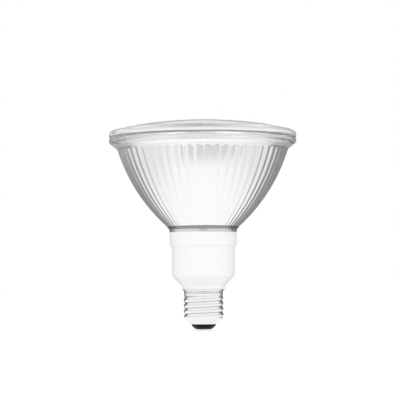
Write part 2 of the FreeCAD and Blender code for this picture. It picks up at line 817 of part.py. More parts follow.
def chamber(radius, half):
    """Barrel with well rounded ends about the arc's height."""
    return turned([
        (0, arc_height - half),
        (radius, arc_height - half, radius * ARC_TUBE_ROUND_SHARE),
        (radius, arc_height + half, radius * ARC_TUBE_ROUND_SHARE),
        (0, arc_height + half),
    ])


def arc_tube():
    """Translucent ceramic chamber with a capillary at each end."""
    radius = ARC_TUBE_DIAMETER / 2
    half = ARC_TUBE_LENGTH / 2
    bore = ELECTRODE_DIAMETER / 2 + FIT / 2
    bottom = arc_height - capillary_reach
    top = arc_height + capillary_reach
    capillaries = disc(CAPILLARY_DIAMETER / 2, bottom, top)
    outside = joined([chamber(radius, half), capillaries])
    inside = chamber(radius - ARC_TUBE_WALL, half - ARC_TUBE_WALL)
    return outside.cut([inside, disc(bore, bottom - FIT, top + FIT)])


def arc_electrodes():
    """Two rods through the capillaries, with the arc's gap between them."""
    inner = ARC_TUBE_LENGTH / 2 - ARC_TUBE_WALL - ELECTRODE_INREACH
    radius = ELECTRODE_DIAMETER / 2
    lower = disc(radius, arc_height - electrode_reach, arc_height - inner)
    upper = disc(radius, arc_height + inner, arc_height + electrode_reach)
    return Part.makeCompound([lower, upper])


def foil_top():
    return pinch_bottom + (PINCH_HEIGHT + FOIL_LENGTH) / 2


def frame_wires():
    """A long wire up the capsule's side to the top electrode, and a short one to the lower."""
    wire = FRAME_WIRE_DIAMETER / 2
    reach = ELECTRODE_DIAMETER / 2 + wire
    pin = PINCH_WIDTH / 4
    spread_foot = pinch_top + CAPSULE_WALL + wire
    spread_top = spread_foot + FRAME_WIRE_DIAMETER * 2
    high = arc_height + electrode_reach - wire
    low = arc_height - electrode_reach + wire
    long_wire = bent_wire([
        Vector(pin, 0, foil_top()),
        Vector(pin, 0, spread_foot),
        Vector(frame_wire_side, 0, spread_top),
        Vector(frame_wire_side, 0, high),
        Vector(reach, 0, high),
    ], wire, FRAME_WIRE_DIAMETER)
    short_wire = bent_wire([
        Vector(-pin, 0, foil_top()),
        Vector(-pin, 0, low),
        Vector(-reach, 0, low),
    ], wire, FRAME_WIRE_DIAMETER)
    return [long_wire, short_wire]


def pinch_foils():
    foil = block(FOIL_WIDTH, FOIL_THICKNESS, foil_top() - FOIL_LENGTH, foil_top())
    return [shifted(foil, side * PINCH_WIDTH / 4, 0) for side in (-1, 1)]


def capsule_pins():
    """Stiff leads from the foils down through the circuit board."""
    pins = []
    for side in (-1, 1):
        x = side * PINCH_WIDTH / 4
        pins.append(lead(x, 0, board_bottom - LEAD_STUB, foil_top() - FOIL_LENGTH))
    return pins


def holder_slot(bottom, top):
    margin = 2 * SLOT_MARGIN
    return block(PINCH_WIDTH + margin, PINCH_THICKNESS + margin, bottom, top)


def burner_holder():
    """Ceramic socket with a flange on the deck and a slot for the pinch."""
    radius = HOLDER_DIAMETER / 2
    body = disc(radius, holder_bottom, holder_top)
    flange = disc(radius + HOLDER_FLANGE_WIDTH, deck_top, holder_top)
    seat = disc(capsule_radius + FIT, pinch_top - FIT, holder_top + FIT)
    return joined([body, flange]).cut([holder_slot(holder_bottom - FIT, holder_top + FIT), seat])


def holder_cement():
    """Cement that fills the holder's slot round the pinch."""
    pinch = block(PINCH_WIDTH, PINCH_THICKNESS, pinch_bottom - FIT, pinch_top + FIT)
    return holder_slot(holder_bottom, pinch_top - FIT).cut(pinch)


def neck_cement():
    return ring(neck_bore_radius, neck_bore_radius - CEMENT_WIDTH, deck_top, holder_top)


def neck_shield():
    """Bright disc that closes the bowl's neck round the capsule."""
    return ring(neck_bore_radius - FIT, capsule_radius + EDGE_MARGIN,
                holder_top, holder_top + SHIELD_THICKNESS)


# Circuit board and its parts

def lead(x, y, start, end):
    """A straight lead through the board, and the hole that it needs."""
    board_holes.append((x, y, LEAD_DIAMETER / 2))
    return rod(Vector(x, y, start), Vector(x, y, end), LEAD_DIAMETER / 2)


def leads(out, angle, offsets, hanging, end):
    """Leads of a part that hangs from the board or stands on it, each ended inside the part."""
    start = board_top + LEAD_STUB if hanging else board_bottom - LEAD_STUB
    places = [spot(across, away, out, angle) for across, away in offsets]
    return [lead(place.x, place.y, min(start, end), max(start, end)) for place in places]


def out_to_edge(width, depth):
    """How far from the axis a part of this plan size can stand on the board."""
    usable = ledge_radius - EDGE_MARGIN
    return math.sqrt(usable ** 2 - (width / 2) ** 2) - depth / 2


def bulk_capacitor():
    """Round can in the spigot, with a rolled groove and two long leads up to the board."""
    radius = BULK_CAPACITOR_DIAMETER / 2
    top = bulk_capacitor_foot + BULK_CAPACITOR_HEIGHT
    bead = top - BEAD_DROP
    can = turned([
        (0, bulk_capacitor_foot),
        (radius, bulk_capacitor_foot, BEAD_HEIGHT),
        (radius, bead - BEAD_HEIGHT),
        (radius - BEAD_HEIGHT, bead),
        (radius, bead + BEAD_HEIGHT),
        (radius, top, BEAD_HEIGHT),
        (0, top),
    ])
    pitch = BULK_CAPACITOR_PITCH / 2
    return joined([can] + leads(0, 90, [(0, -pitch), (0, pitch)], True, top - BEAD_HEIGHT))


def core_window():
    """Width of the transformer core's opening, and the heights of its foot and top."""
    top = board_bottom - STANDOFF - CORE_LEG
    return CORE_WIDTH - 2 * CORE_SIDE, top - CORE_HEIGHT + 2 * CORE_LEG, top


def transformer_out():
    return out_to_edge(CORE_WIDTH, bobbin_depth() + 2 * BOBBIN_FLANGE)


def bobbin_depth():
    return CORE_DEPTH + 2 * FIT + 2 * BOBBIN_WALL


def bobbin_width():
    return CORE_LEG + 2 * FIT + 2 * BOBBIN_WALL


def transformer_core():
    """Ferrite core of two halves glued into one: an outer frame and a middle leg."""
    width, foot, top = core_window()
    frame = block(CORE_WIDTH, CORE_DEPTH, foot - CORE_LEG, top + CORE_LEG)
    opening = block(width, CORE_DEPTH + 1, foot, top)
    leg = block(CORE_LEG, CORE_DEPTH, foot - CORE_LEG / 2, top + CORE_LEG / 2)
    return moved(joined([frame.cut(opening), leg]), transformer_out(), TRANSFORMER_ANGLE)


def transformer_bobbin():
    """Plastic former: a sleeve on the middle leg with two end flanges and four pins."""
    width, foot, top = core_window()
    depth = bobbin_depth() + 2 * BOBBIN_FLANGE
    sleeve = block(bobbin_width(), bobbin_depth(), foot + FIT, top - FIT)
    lower = block(width - 2 * FIT, depth, foot + FIT, foot + FIT + BOBBIN_WALL)
    upper = block(width - 2 * FIT, depth, top - FIT - BOBBIN_WALL, top - FIT)
    bore = block(CORE_LEG + 2 * FIT, CORE_DEPTH + 2 * FIT, foot, top)
    shape = joined([sleeve, lower, upper]).cut(bore)
    across = width / 2 - LEAD_DIAMETER
    away = (depth + CORE_DEPTH) / 4
    offsets = [(x, y) for x in (-across, across) for y in (-away, away)]
    pins = leads(transformer_out(), TRANSFORMER_ANGLE, offsets, True, top - FIT - BOBBIN_WALL)
    return joined([moved(shape, transformer_out(), TRANSFORMER_ANGLE)] + pins)


def transformer_winding():
    width, foot, top = core_window()
    low = foot + FIT + BOBBIN_WALL
    high = top - FIT - BOBBIN_WALL
    outer = block(width - 4 * FIT, bobbin_depth() + 2 * WINDING_DEPTH, low, high)
    inner = block(bobbin_width(), bobbin_depth(), low, high)
    outer = outer.makeFillet(WINDING_DEPTH * WINDING_ROUND_SHARE, upright_edges(outer))
    return moved(outer.cut(inner), transformer_out(), TRANSFORMER_ANGLE)


def filter_choke_core():
    """Ferrite drum with two leads."""
    radius = DRUM_DIAMETER / 2
    neck = DRUM_NECK_DIAMETER / 2
    out = out_to_edge(DRUM_DIAMETER, DRUM_DIAMETER)
    top = board_bottom - STANDOFF
    foot = top - DRUM_HEIGHT
    drum = turned([
        (0, foot),
        (radius, foot, FIT),
        (radius, foot + DRUM_FLANGE, FIT),
        (neck, foot + DRUM_FLANGE),
        (neck, top - DRUM_FLANGE),
        (radius, top - DRUM_FLANGE, FIT),
        (radius, top, FIT),
        (0, top),
    ])
    across = radius * DRUM_PIN_SHARE
    offsets = [(-across, 0), (across, 0)]
    pins = leads(out, CHOKE_ANGLE, offsets, True, top - DRUM_FLANGE / 2)
    return joined([moved(drum, out, CHOKE_ANGLE)] + pins)


def filter_choke_winding():
    top = board_bottom - STANDOFF - DRUM_FLANGE
    foot = board_bottom - STANDOFF - DRUM_HEIGHT + DRUM_FLANGE
    coil = ring(DRUM_DIAMETER / 2 - DRUM_WINDING_SETBACK, DRUM_NECK_DIAMETER / 2, foot, top)
    return moved(coil, out_to_edge(DRUM_DIAMETER, DRUM_DIAMETER), CHOKE_ANGLE)


def igniter_out():
    return out_to_edge(COIL_CORE_DIAMETER, COIL_CORE_WIDTH + 2 * COIL_WINDING)


def igniter_height():
    return board_bottom - STANDOFF - COIL_CORE_DIAMETER / 2 - COIL_WINDING


def on_edge(shape):
    """A ring of the igniter stood on its edge under the board, its axis pointing out."""
    shape = shape.copy()
    shape.rotate(Vector(0, 0, 0), Vector(1, 0, 0), 90)
    shape.translate(Vector(0, 0, igniter_height()))
    return moved(shape, igniter_out(), IGNITER_ANGLE)


def igniter_core():
    half = COIL_CORE_WIDTH / 2
    return on_edge(ring(COIL_CORE_DIAMETER / 2, COIL_CORE_BORE / 2, -half, half))


def igniter_winding():
    """Fine wire round most of the ring core, as one sleeve, with a lead at each of its ends."""
    bore = COIL_CORE_BORE / 2
    edge = COIL_CORE_DIAMETER / 2
    half = COIL_CORE_WIDTH / 2
    corners = [
        Vector(bore - COIL_WINDING, 0, -half - COIL_WINDING),
        Vector(edge + COIL_WINDING, 0, -half - COIL_WINDING),
        Vector(edge + COIL_WINDING, 0, half + COIL_WINDING),
        Vector(bore - COIL_WINDING, 0, half + COIL_WINDING),
    ]
    rounds = [COIL_WINDING * WINDING_ROUND_SHARE] * len(corners)
    section = Part.Face(Part.Wire(rounded_edges(corners, rounds, True)))
    sleeve = section.revolve(Vector(0, 0, 0), Vector(0, 0, 1), 360 - COIL_GAP)
    sleeve.rotate(Vector(0, 0, 0), Vector(0, 0, 1), 90 + COIL_GAP / 2)
    sleeve = sleeve.cut(ring(edge, bore, -half, half))
    middle = edge + COIL_WINDING / 2
    lean = math.radians(COIL_GAP / 2) + LEAD_DIAMETER / middle
    across = middle * math.sin(lean)
    top = igniter_height() + middle * math.cos(lean)
    pins = leads(igniter_out(), IGNITER_ANGLE, [(-across, 0), (across, 0)], True, top)
    return joined([on_edge(sleeve)] + pins)


def film_capacitor(width, depth, height, angle, hanging):
    """Moulded box capacitor with two leads."""
    out = out_to_edge(width, depth)
    if hanging:
        foot = board_bottom - STANDOFF / 2 - height
        end = foot + height * (1 - CAPACITOR_LEAD_SHARE)
    else:
        foot = board_top + STANDOFF / 2
        end = foot + height * CAPACITOR_LEAD_SHARE
    body = block(width, depth, foot, foot + height)
    body = body.makeFillet(depth / 8, upright_edges(body))
    across = width / 2 - CAPACITOR_LEAD_MARGIN
    pins = leads(out, angle, [(-across, 0), (across, 0)], hanging, end)
    return joined([moved(body, out, angle)] + pins)


def power_transistor(angle):
    """Flat moulded body with a screw hole and three leads."""
    out = out_to_edge(TRANSISTOR_WIDTH, TRANSISTOR_DEPTH)
    foot = board_top + STANDOFF
    body = block(TRANSISTOR_WIDTH, TRANSISTOR_DEPTH, foot, foot + TRANSISTOR_HEIGHT)
    eye = foot + TRANSISTOR_HEIGHT - TRANSISTOR_HOLE_DIAMETER
    hole = rod(Vector(0, -TRANSISTOR_DEPTH, eye), Vector(0, TRANSISTOR_DEPTH, eye),
               TRANSISTOR_HOLE_DIAMETER / 2)
    offsets = [(-TRANSISTOR_LEAD_PITCH, 0), (0, 0), (TRANSISTOR_LEAD_PITCH, 0)]
    pins = leads(out, angle, offsets, False, foot + LEAD_DIAMETER)
    return joined([moved(body.cut(hole), out, angle)] + pins)


def controller_chip():
    """Flat chip package with bent legs that rest on the board."""
    sheet = CHIP_LEG_SHEET
    knee_height = board_top + CHIP_HEIGHT / 2
    reach = CHIP_DEPTH / 2 + CHIP_LEG_REACH
    legs = []
    for i in range(CHIP_LEGS_A_SIDE):
        across = (i - (CHIP_LEGS_A_SIDE - 1) / 2) * CHIP_LEG_PITCH
        knee = block(CHIP_LEG_WIDTH, CHIP_DEPTH + CHIP_LEG_REACH, knee_height, knee_height + sheet)
        legs.append(shifted(knee, across, 0))
        for side in (-1, 1):
            shin = block(CHIP_LEG_WIDTH, sheet, board_top, knee_height + sheet)
            foot = block(CHIP_LEG_WIDTH, CHIP_LEG_REACH / 2 + sheet, board_top, board_top + sheet)
            legs.append(shifted(shin, across, side * (reach - CHIP_LEG_REACH / 2 - sheet / 2)))
            legs.append(shifted(foot, across, side * (reach - CHIP_LEG_REACH / 4 - sheet / 2)))
    body = block(CHIP_WIDTH, CHIP_DEPTH, board_top + FIT, board_top + FIT + CHIP_HEIGHT)
    return moved(joined([body] + legs), wire_lane + CHIP_DEPTH / 2, CHIP_ANGLE)


def rectifier_diodes():
    """Four axial diodes lying side by side, their leads bent down through the board."""
    radius = DIODE_DIAMETER / 2
    half = DIODE_LENGTH / 2
    span = half + DIODE_LEAD_REACH
    out = out_to_edge(DIODE_COUNT * DIODE_PITCH, 2 * span)
    height = board_top + radius
    foot = board_bottom - LEAD_STUB
    group = []
    for i in range(DIODE_COUNT):
        x = (i - (DIODE_COUNT - 1) / 2) * DIODE_PITCH
        body = rod(Vector(x, -half, height), Vector(x, half, height), radius)
        bail = bent_wire([
            Vector(x, -span, foot),
            Vector(x, -span, height),
            Vector(x, span, height),
            Vector(x, span, foot),
        ], LEAD_DIAMETER / 2, LEAD_DIAMETER)
        group.append(moved(joined([body, bail]), out, DIODE_ANGLE))
        for y in (-span, span):
            drill(spot(x, y, out, DIODE_ANGLE), LEAD_DIAMETER)
    return Part.makeCompound(group)


def thermistor():
    """Small upright disc with two leads."""
    out = out_to_edge(THERMISTOR_DIAMETER, THERMISTOR_THICKNESS)
    radius = THERMISTOR_DIAMETER / 2
    height = board_top + STANDOFF + radius
    half = THERMISTOR_THICKNESS / 2
    body = rod(Vector(0, -half, height), Vector(0, half, height), radius)
    pins = leads(out, THERMISTOR_ANGLE, [(-radius / 2, 0), (radius / 2, 0)], False, height)
    return joined([moved(body, out, THERMISTOR_ANGLE)] + pins)


def spark_gap():
    """Small glass tube that stands on one lead, the other folded down beside it."""
    radius = SPARK_GAP_DIAMETER / 2
    side = radius + LEAD_DIAMETER
    out = out_to_edge(2 * side, SPARK_GAP_DIAMETER)
    foot = board_top + STANDOFF
    top = foot + SPARK_GAP_LENGTH
    fold = bent_wire([
        Vector(0, 0, top - LEAD_DIAMETER),
        Vector(0, 0, top + LEAD_DIAMETER),
        Vector(side, 0, top + LEAD_DIAMETER),
        Vector(side, 0, board_bottom - LEAD_STUB),
    ], LEAD_DIAMETER / 2, LEAD_DIAMETER)
    drill(spot(side, 0, out, SPARK_GAP_ANGLE), LEAD_DIAMETER)
    pins = leads(out, SPARK_GAP_ANGLE, [(0, 0)], False, foot + LEAD_DIAMETER)
    body = disc(radius, foot, top).fuse(fold)
    return joined([moved(body, out, SPARK_GAP_ANGLE)] + pins)


# Supply: the fuse on the contact, and the two wires to the board

def fuse_resistor():
    """Axial resistor that stands on the contact: its lower lead ends in the contact's bore."""
    radius = FUSE_DIAMETER / 2
    body = turned([
        (0, fuse_foot),
        (radius, fuse_foot, radius / 3),
        (radius, fuse_top, radius / 3),
        (0, fuse_top),
    ])
    tail = disc(CONTACT_BORE_DIAMETER / 2 - HOLE_CLEARANCE, CONTACT_RISE * 2, fuse_foot + radius)
    return joined([body, tail])


def line_wire():
    """Insulated wire from the fuse's top, past the capacitor, up through the board."""
    wire = SUPPLY_WIRE_DIAMETER / 2
    level = line_wire_foot + wire
    drill(polar(wire_lane, LINE_WIRE_ANGLE, 0), SUPPLY_WIRE_DIAMETER)
    return bent_wire([
        Vector(0, 0, fuse_top),
        Vector(0, 0, level),
        polar(wire_lane, LINE_WIRE_ANGLE, level),
        polar(wire_lane, LINE_WIRE_ANGLE, board_top + LEAD_STUB),
    ], wire, SUPPLY_WIRE_DIAMETER * SUPPLY_WIRE_BEND_SHARE)


def neutral_wire():
    """Insulated wire from the board down to the spigot, and out against the shell's band."""
    level = neutral_wire_height()
    drill(polar(wire_lane, NEUTRAL_WIRE_ANGLE, 0), SUPPLY_WIRE_DIAMETER)
    return bent_wire([
        polar(wire_lane, NEUTRAL_WIRE_ANGLE, board_top + LEAD_STUB),
        polar(wire_lane, NEUTRAL_WIRE_ANGLE, level),
        polar(band_radius - SHELL_WALL - FIT, NEUTRAL_WIRE_ANGLE, level),
    ], SUPPLY_WIRE_DIAMETER / 2, SUPPLY_WIRE_BEND)


def circuit_board():
    """Round board on the cup's ledge, drilled for every lead."""
    board = disc(board_radius, board_bottom, board_top)
    holes = [rod(Vector(x, y, board_bottom - 1), Vector(x, y, board_top + 1),
                 radius + HOLE_CLEARANCE) for x, y, radius in board_holes]
    return board.cut(holes)


# Every piece, as one node each

def build():
    """All nodes by name. The board comes last, because every lead before it drills a hole."""
    long_wire, short_wire = frame_wires()
    nodes = {
        "centre_contact": centre_contact(),
        "base_insulator": base_insulator(),
        "screw_shell": screw_shell(),
        "lower_housing": lower_housing(),
        "upper_housing": upper_housing(),
        "neck_ring": neck_ring(),
        "reflector": reflector(),
        "lens_sealant": lens_sealant(),
        "front_lens": front_lens(),
        "neck_cement": neck_cement(),
        "neck_shield": neck_shield(),
        "burner_holder": burner_holder(),
        "holder_cement": holder_cement(),
        "burner_capsule": capsule(),
        "arc_tube": arc_tube(),
        "arc_electrodes": arc_electrodes(),
        "frame_wire_long": long_wire,
        "frame_wire_short": short_wire,
        "pinch_foils": Part.makeCompound(pinch_foils()),
        "capsule_pins": Part.makeCompound(capsule_pins()),
        "bulk_capacitor": bulk_capacitor(),
        "transformer_core": transformer_core(),
        "transformer_bobbin": transformer_bobbin(),
        "transformer_winding": transformer_winding(),
        "filter_choke_core": filter_choke_core(),
        "filter_choke_winding": filter_choke_winding(),
        "igniter_core": igniter_core(),
        "igniter_winding": igniter_winding(),
        "film_capacitor": film_capacitor(
            FILM_CAPACITOR_WIDTH, FILM_CAPACITOR_DEPTH, FILM_CAPACITOR_HEIGHT,
            FILM_CAPACITOR_ANGLE, True),
        "ignition_capacitor": film_capacitor(
            SMALL_CAPACITOR_WIDTH, SMALL_CAPACITOR_DEPTH, SMALL_CAPACITOR_HEIGHT,
            SMALL_CAPACITOR_ANGLE, False),
        "controller_chip": controller_chip(),
        "rectifier_diodes": rectifier_diodes(),
        "thermistor": thermistor(),
        "spark_gap": spark_gap(),
        "fuse_resistor": fuse_resistor(),
        "line_wire": line_wire(),
        "neutral_wire": neutral_wire(),
    }
    for i, angle in enumerate(TRANSISTOR_ANGLES):
        nodes[f"power_transistor_{i + 1}"] = power_transistor(angle)
    nodes["circuit_board"] = circuit_board()
    return nodes


os.makedirs("parts", exist_ok=True)
for name, shape in build().items():
    shape.exportStep("parts/" + name + ".step")
    print(f"{name}: {len(shape.Solids)} solid(s), valid {shape.isValid()}, {shape.Volume:.1f} mm3")
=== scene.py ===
import math

import bpy
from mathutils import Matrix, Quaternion, Vector


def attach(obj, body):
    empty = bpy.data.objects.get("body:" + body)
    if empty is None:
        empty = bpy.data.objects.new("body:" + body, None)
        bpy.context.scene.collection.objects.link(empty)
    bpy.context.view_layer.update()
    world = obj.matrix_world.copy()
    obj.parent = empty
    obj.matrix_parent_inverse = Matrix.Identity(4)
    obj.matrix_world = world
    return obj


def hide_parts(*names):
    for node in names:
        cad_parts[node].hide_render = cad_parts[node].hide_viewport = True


MM = 0.001

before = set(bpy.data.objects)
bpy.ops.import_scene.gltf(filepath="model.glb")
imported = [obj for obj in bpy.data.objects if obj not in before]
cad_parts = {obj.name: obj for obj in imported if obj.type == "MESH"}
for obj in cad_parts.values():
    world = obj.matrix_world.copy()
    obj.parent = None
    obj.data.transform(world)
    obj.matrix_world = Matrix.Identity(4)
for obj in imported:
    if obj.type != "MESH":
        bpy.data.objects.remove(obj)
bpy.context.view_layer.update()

# Sizes of the screw shell, in millimetres, as in the part's source
CONTACT_RISE = 0.65
INSULATOR_RISE = 3.25
SHELL_CUP_HEIGHT = 4.2
SHELL_CUP_BULGE = 0.14
SHELL_WALL = 0.3
SHELL_EDGE_RADIUS = 9.2
INSULATOR_RADIUS = 7.95
THREAD_RADIUS = 13.1
THREAD_DEPTH = 0.85
THREAD_PITCH = 25.4 / 7
THREAD_TURNS = 3.9
THREAD_START = math.radians(208)
THREAD_RUN_OUT = 1.7
BAND_RADIUS = 12.9
BAND_HEIGHT = 3.9
BAND_GROOVE_DEPTH = 0.35
BAND_GROOVE_WIDTH = 2.0
BAND_LIP = 0.55
BAND_LIP_HEIGHT = 0.9
STAKE_COUNT = 12
STAKE_RADIUS = 0.65
STAKE_DEPTH = 0.22

# Heights of the housing between the shell and the bowl, in millimetres, as in the part's source
LOWER_NECK_HEIGHT = 2.1
LOWER_CONE_HEIGHT = 6.9
LOWER_CYLINDER_HEIGHT = 18.0
UPPER_HEIGHT = 9.75
FIT = 0.1

# Sizes of the bowl, the ring and the lens, in millimetres, as in the part's source
RIM_RADIUS = 60.5
RIM_LEDGE = 5.3
RIM_CONE_HEIGHT = 4.2
RIM_LAND_HEIGHT = 2.3
RIM_ROUND = 1.5
RIM_EDGE_ROUND = 0.7
BOWL_DEPTH = 51.1
BOWL_BULGE = 4.26
BOWL_WALL = 3.0
BOWL_FOOT_STEP = 0.75
FLUTE_COUNT = 56
FLUTE_RELIEF = 0.0095
FLUTE_START = math.radians(3.2)
FLUTE_FOOT_SETBACK = 0.4
SHOULDER_HEIGHT = 0.4
SHOULDER_TAPER = 2.0
SHOULDER_TAPER_DEPTH = 0.8
SHOULDER_PROUD = 0.15
NECK_RADIUS = 21.35
NECK_BORE = NECK_RADIUS - BOWL_WALL
BOWL_FOOT_RISE = 2.55
RING_HEIGHT = 1.7
RING_SHEET = 0.35
SEAL_THICKNESS = 0.5
LENS_LAND_HEIGHT = 4.7
LENS_RISE = 6.5
LENS_ROUND = 2.4
LENS_ROUND_SHARE = 0.95
LENS_FOOT_ROUND = 0.9
LENS_THICKNESS = 3.2

# Fineness of the meshes: steps round and along, millimetres between close rows, degrees of a crease
SHELL_AROUND = 384
SHELL_LEVELS = 170
SHELL_INNER_LEVELS = 80
SHELL_CREASE = 50
FLUTE_STEPS = 8
BOWL_LEVELS = 60
TAPER_LEVELS = 40
SHOULDER_LEVELS = 4
RIM_ROUND_STEPS = 6
RIM_EDGE_STEPS = 5
ROW_GAP = 0.05
GLASS_CREASE = 38
LENS_AROUND = 320
LENS_LEVELS = 40
LENS_HUB_SHARE = 0.004
LENS_ROUND_STEPS = 10
LENS_FOOT_STEPS = 6

# Looks of the glass; rises, blends and reaches are in millimetres
GLASS_INDEX = 1.47
POLISH = 0.01
MIRROR_GREY = 0.96
MIRROR_ROUGHNESS = 0.15
SATIN_METAL = 0.85
SATIN_ROUGHNESS = 0.3
SATIN_BLEND = 0.2
COAT_RISE = 1.8
COAT_BLEND = 0.4
RIM_ROUGHNESS = 0.2
RIM_HAZE = 0.1
RIM_STREAKS = 0.26
RIM_TINT = 0.95
LENS_HAZE = 0.2
LENS_HAZE_REACH = (50.0, 57.5)
STREAK_SCALE = (12, 12, 650)
STREAK_LIMITS = (0.3, 0.7)

# Looks of the metal, with painted shade lines along the thread and a painted shade on the ring's lip;
# phases are shares of the thread's pitch, blends are in millimetres
METAL_GREY = 0.9
SHELL_ROUGHNESS = 0.13
# Shares of grey taken off the metal as painted shade in the thread's root and a painted dark reflection
# along its crest
ROOT_SHADE = 0.34
ROOT_PHASES = (0.03, 0.13)
CREST_SHADE = 0.22
CREST_PHASES = (0.42, 0.49)
THREAD_BLEND = 1.0
RING_ROUGHNESS = 0.22
# Painted shade on the ring's flared lip: a darker grey standing in for the dark the lip reflects
RING_LIP_PAINTED_SHADE = (0.32, 0.32, 0.33, 1)
RING_BLEND = 0.2

# Depth of a grain's relief, and how far light spreads under a surface, in metres
RELIEF_DEPTH = 0.0001
GLOW_DEPTH = 0.002

# Floor, in metres, with the light that meets the backdrop's white far from the lamp
STAGE_SIZE = (12, 12)
FLOOR_HEIGHT = -0.0002
FLOOR_GREY = 0.96
FLOOR_ROUGHNESS = 0.9
FLOOR_REACH = (0.2, 0.9)
FLOOR_LIFT = (0.3, 1.0)

# Card that polished parts see below them: metres from the axis, and shares of white
CARD_HEIGHT = 0.0004
SHADE_START = 0.019
SHADE_START_SLOPE = 0.06
SHADE_WIDTH = 0.018
SHADE_WIDTH_SLOPE = 0.42
SHADE_RIGHT_LEAD = 0.15
SHADE_LIMITS = (-0.1, 0.9)
SIDE_REACH = (0.03, 0.22)
SIDE_LIGHT = 0.8
PATCH_AHEAD = (0.13, 0.21)
PATCH_LEFT = (-0.085, -0.055)
PATCH_RIGHT = (0.12, 0.16)
PATCH_SHADE = 0.3
CLOUD_SCALE = 9
CLOUD_LIMITS = (0.35, 0.65)
CLOUD_SHADES = (0.19, 0.37)
FAR_LEFT = (0.2, 0.5)
FAR_LEFT_LIFT = 0.1

# Studio round the lamp: its light, limits on a direction's parts, and shares of white taken off
WORLD_LIGHT = 0.83
LOW_DOWN = (0.1, 0.3)
SIDEWAYS = (0.2, 0.4)
SIDEWAYS_UP = (0.4, 0.75)
BEHIND = (0.2, 0.6)
BEHIND_SKEW = 0.1
BEHIND_SHADE = 0.8
AHEAD = (0.955, 0.99)
AHEAD_SHADE = 0.35
HORIZON = (0.05, 0.35)
HORIZON_SHADE = 0.35
CEILING = (0.3, 0.85)
CEILING_SHADE = 0.55
BOX_DIRECTION = (-0.35, -0.3, 0.88)
BOX_EDGE = (0.93, 0.96)

# Soft lamps: name, place, the point that they face, size in metres, and power
SOFTBOXES = (
    ("key", (-0.9, -0.9, 0.75), (0, 0, 0.07), (0.9, 0.9), 2.9),
    ("fill", (0.9, -0.8, 0.5), (0, 0, 0.07), (0.8, 0.9), 2.1),
    ("top", (0, 0.1, 1.4), (0, 0, 0.05), (1.2, 1.2), 3),
)

# Camera: metres, degrees and millimetres of lens and sensor
CAMERA_DISTANCE = 1.12
CAMERA_HEIGHT = 0.03
CAMERA_ASIDE = -0.0019
CAMERA_AIM = 0.0838
CAMERA_ROLL = -0.33
CAMERA_LENS = 156.3
CAMERA_SENSOR = 36

# Heights along the axis and the thread's middle radius, in millimetres
shell_foot = CONTACT_RISE + INSULATOR_RISE
thread_foot = shell_foot + SHELL_CUP_HEIGHT
band_foot = thread_foot + THREAD_TURNS * THREAD_PITCH
shell_top = band_foot + BAND_HEIGHT
cylinder_foot = shell_top + FIT + LOWER_NECK_HEIGHT + LOWER_CONE_HEIGHT
deck_top = cylinder_foot + LOWER_CYLINDER_HEIGHT + UPPER_HEIGHT
neck_foot = deck_top + RING_SHEET + FIT / 2
bowl_foot = deck_top + BOWL_FOOT_RISE
bowl_mouth = bowl_foot + BOWL_DEPTH
shoulder_foot = bowl_mouth - SHOULDER_HEIGHT
taper_foot = shoulder_foot - SHOULDER_TAPER
rim_land_foot = bowl_mouth + RIM_CONE_HEIGHT
rim_top = rim_land_foot + RIM_LAND_HEIGHT
lens_foot = rim_top + SEAL_THICKNESS
lens_land_top = lens_foot + LENS_LAND_HEIGHT
lens_top = lens_land_top + LENS_RISE
thread_middle = THREAD_RADIUS - THREAD_DEPTH / 2

# The bowl's meridian is an arc that bulges outwards from its chord
foot_radius = NECK_RADIUS + BOWL_FOOT_STEP
chord_out = RIM_RADIUS - RIM_LEDGE - foot_radius
chord = math.hypot(chord_out, BOWL_DEPTH)
bowl_arc = (chord / 2) ** 2 / (2 * BOWL_BULGE) + BOWL_BULGE / 2
bowl_centre = (
    foot_radius + chord_out / 2 - (bowl_arc - BOWL_BULGE) * BOWL_DEPTH / chord,
    bowl_foot + BOWL_DEPTH / 2 + (bowl_arc - BOWL_BULGE) * chord_out / chord,
)


# Meshes

def mesh_object(name, rows, closed_rows=True):
    """A smooth mesh from rings of points: the last joins the first, or both ends get a cap."""
    count = len(rows[0])
    points = [Vector(point) * MM for row in rows for point in row]
    faces = []
    for i in range(len(rows) if closed_rows else len(rows) - 1):
        following = (i + 1) % len(rows)
        for j in range(count):
            beside = (j + 1) % count
            faces.append((i * count + j, i * count + beside,
                          following * count + beside, following * count + j))
    if not closed_rows:
        faces.append(tuple(reversed(range(count))))
        faces.append(tuple(range(len(points) - count, len(points))))
    mesh = bpy.data.meshes.new(name)
    mesh.from_pydata(points, [], faces)
    mesh.update()
    mesh.shade_smooth()
    piece = bpy.data.objects.new(name, mesh)
    bpy.context.scene.collection.objects.link(piece)
    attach(piece, "root")
    return piece


def sharpen(piece, degrees):
    piece.data.set_sharp_from_angle(angle=math.radians(degrees))


def spread(start, end, count):
    return [start + (end - start) * i / count for i in range(count + 1)]


def turns(count):
    return [2 * math.pi * j / count for j in range(count)]


def round_point(radius, angle, height):
    return radius * math.cos(angle), radius * math.sin(angle), height


def arc_points(centre, radius, first, last, count):
    """Points along an arc in the meridian plane; angles in degrees from outward."""
    points = []
    for degrees in spread(first, last, count):
        angle = math.radians(degrees)
        points.append((centre[0] + radius * math.cos(angle), centre[1] + radius * math.sin(angle)))
    return points


# Node values

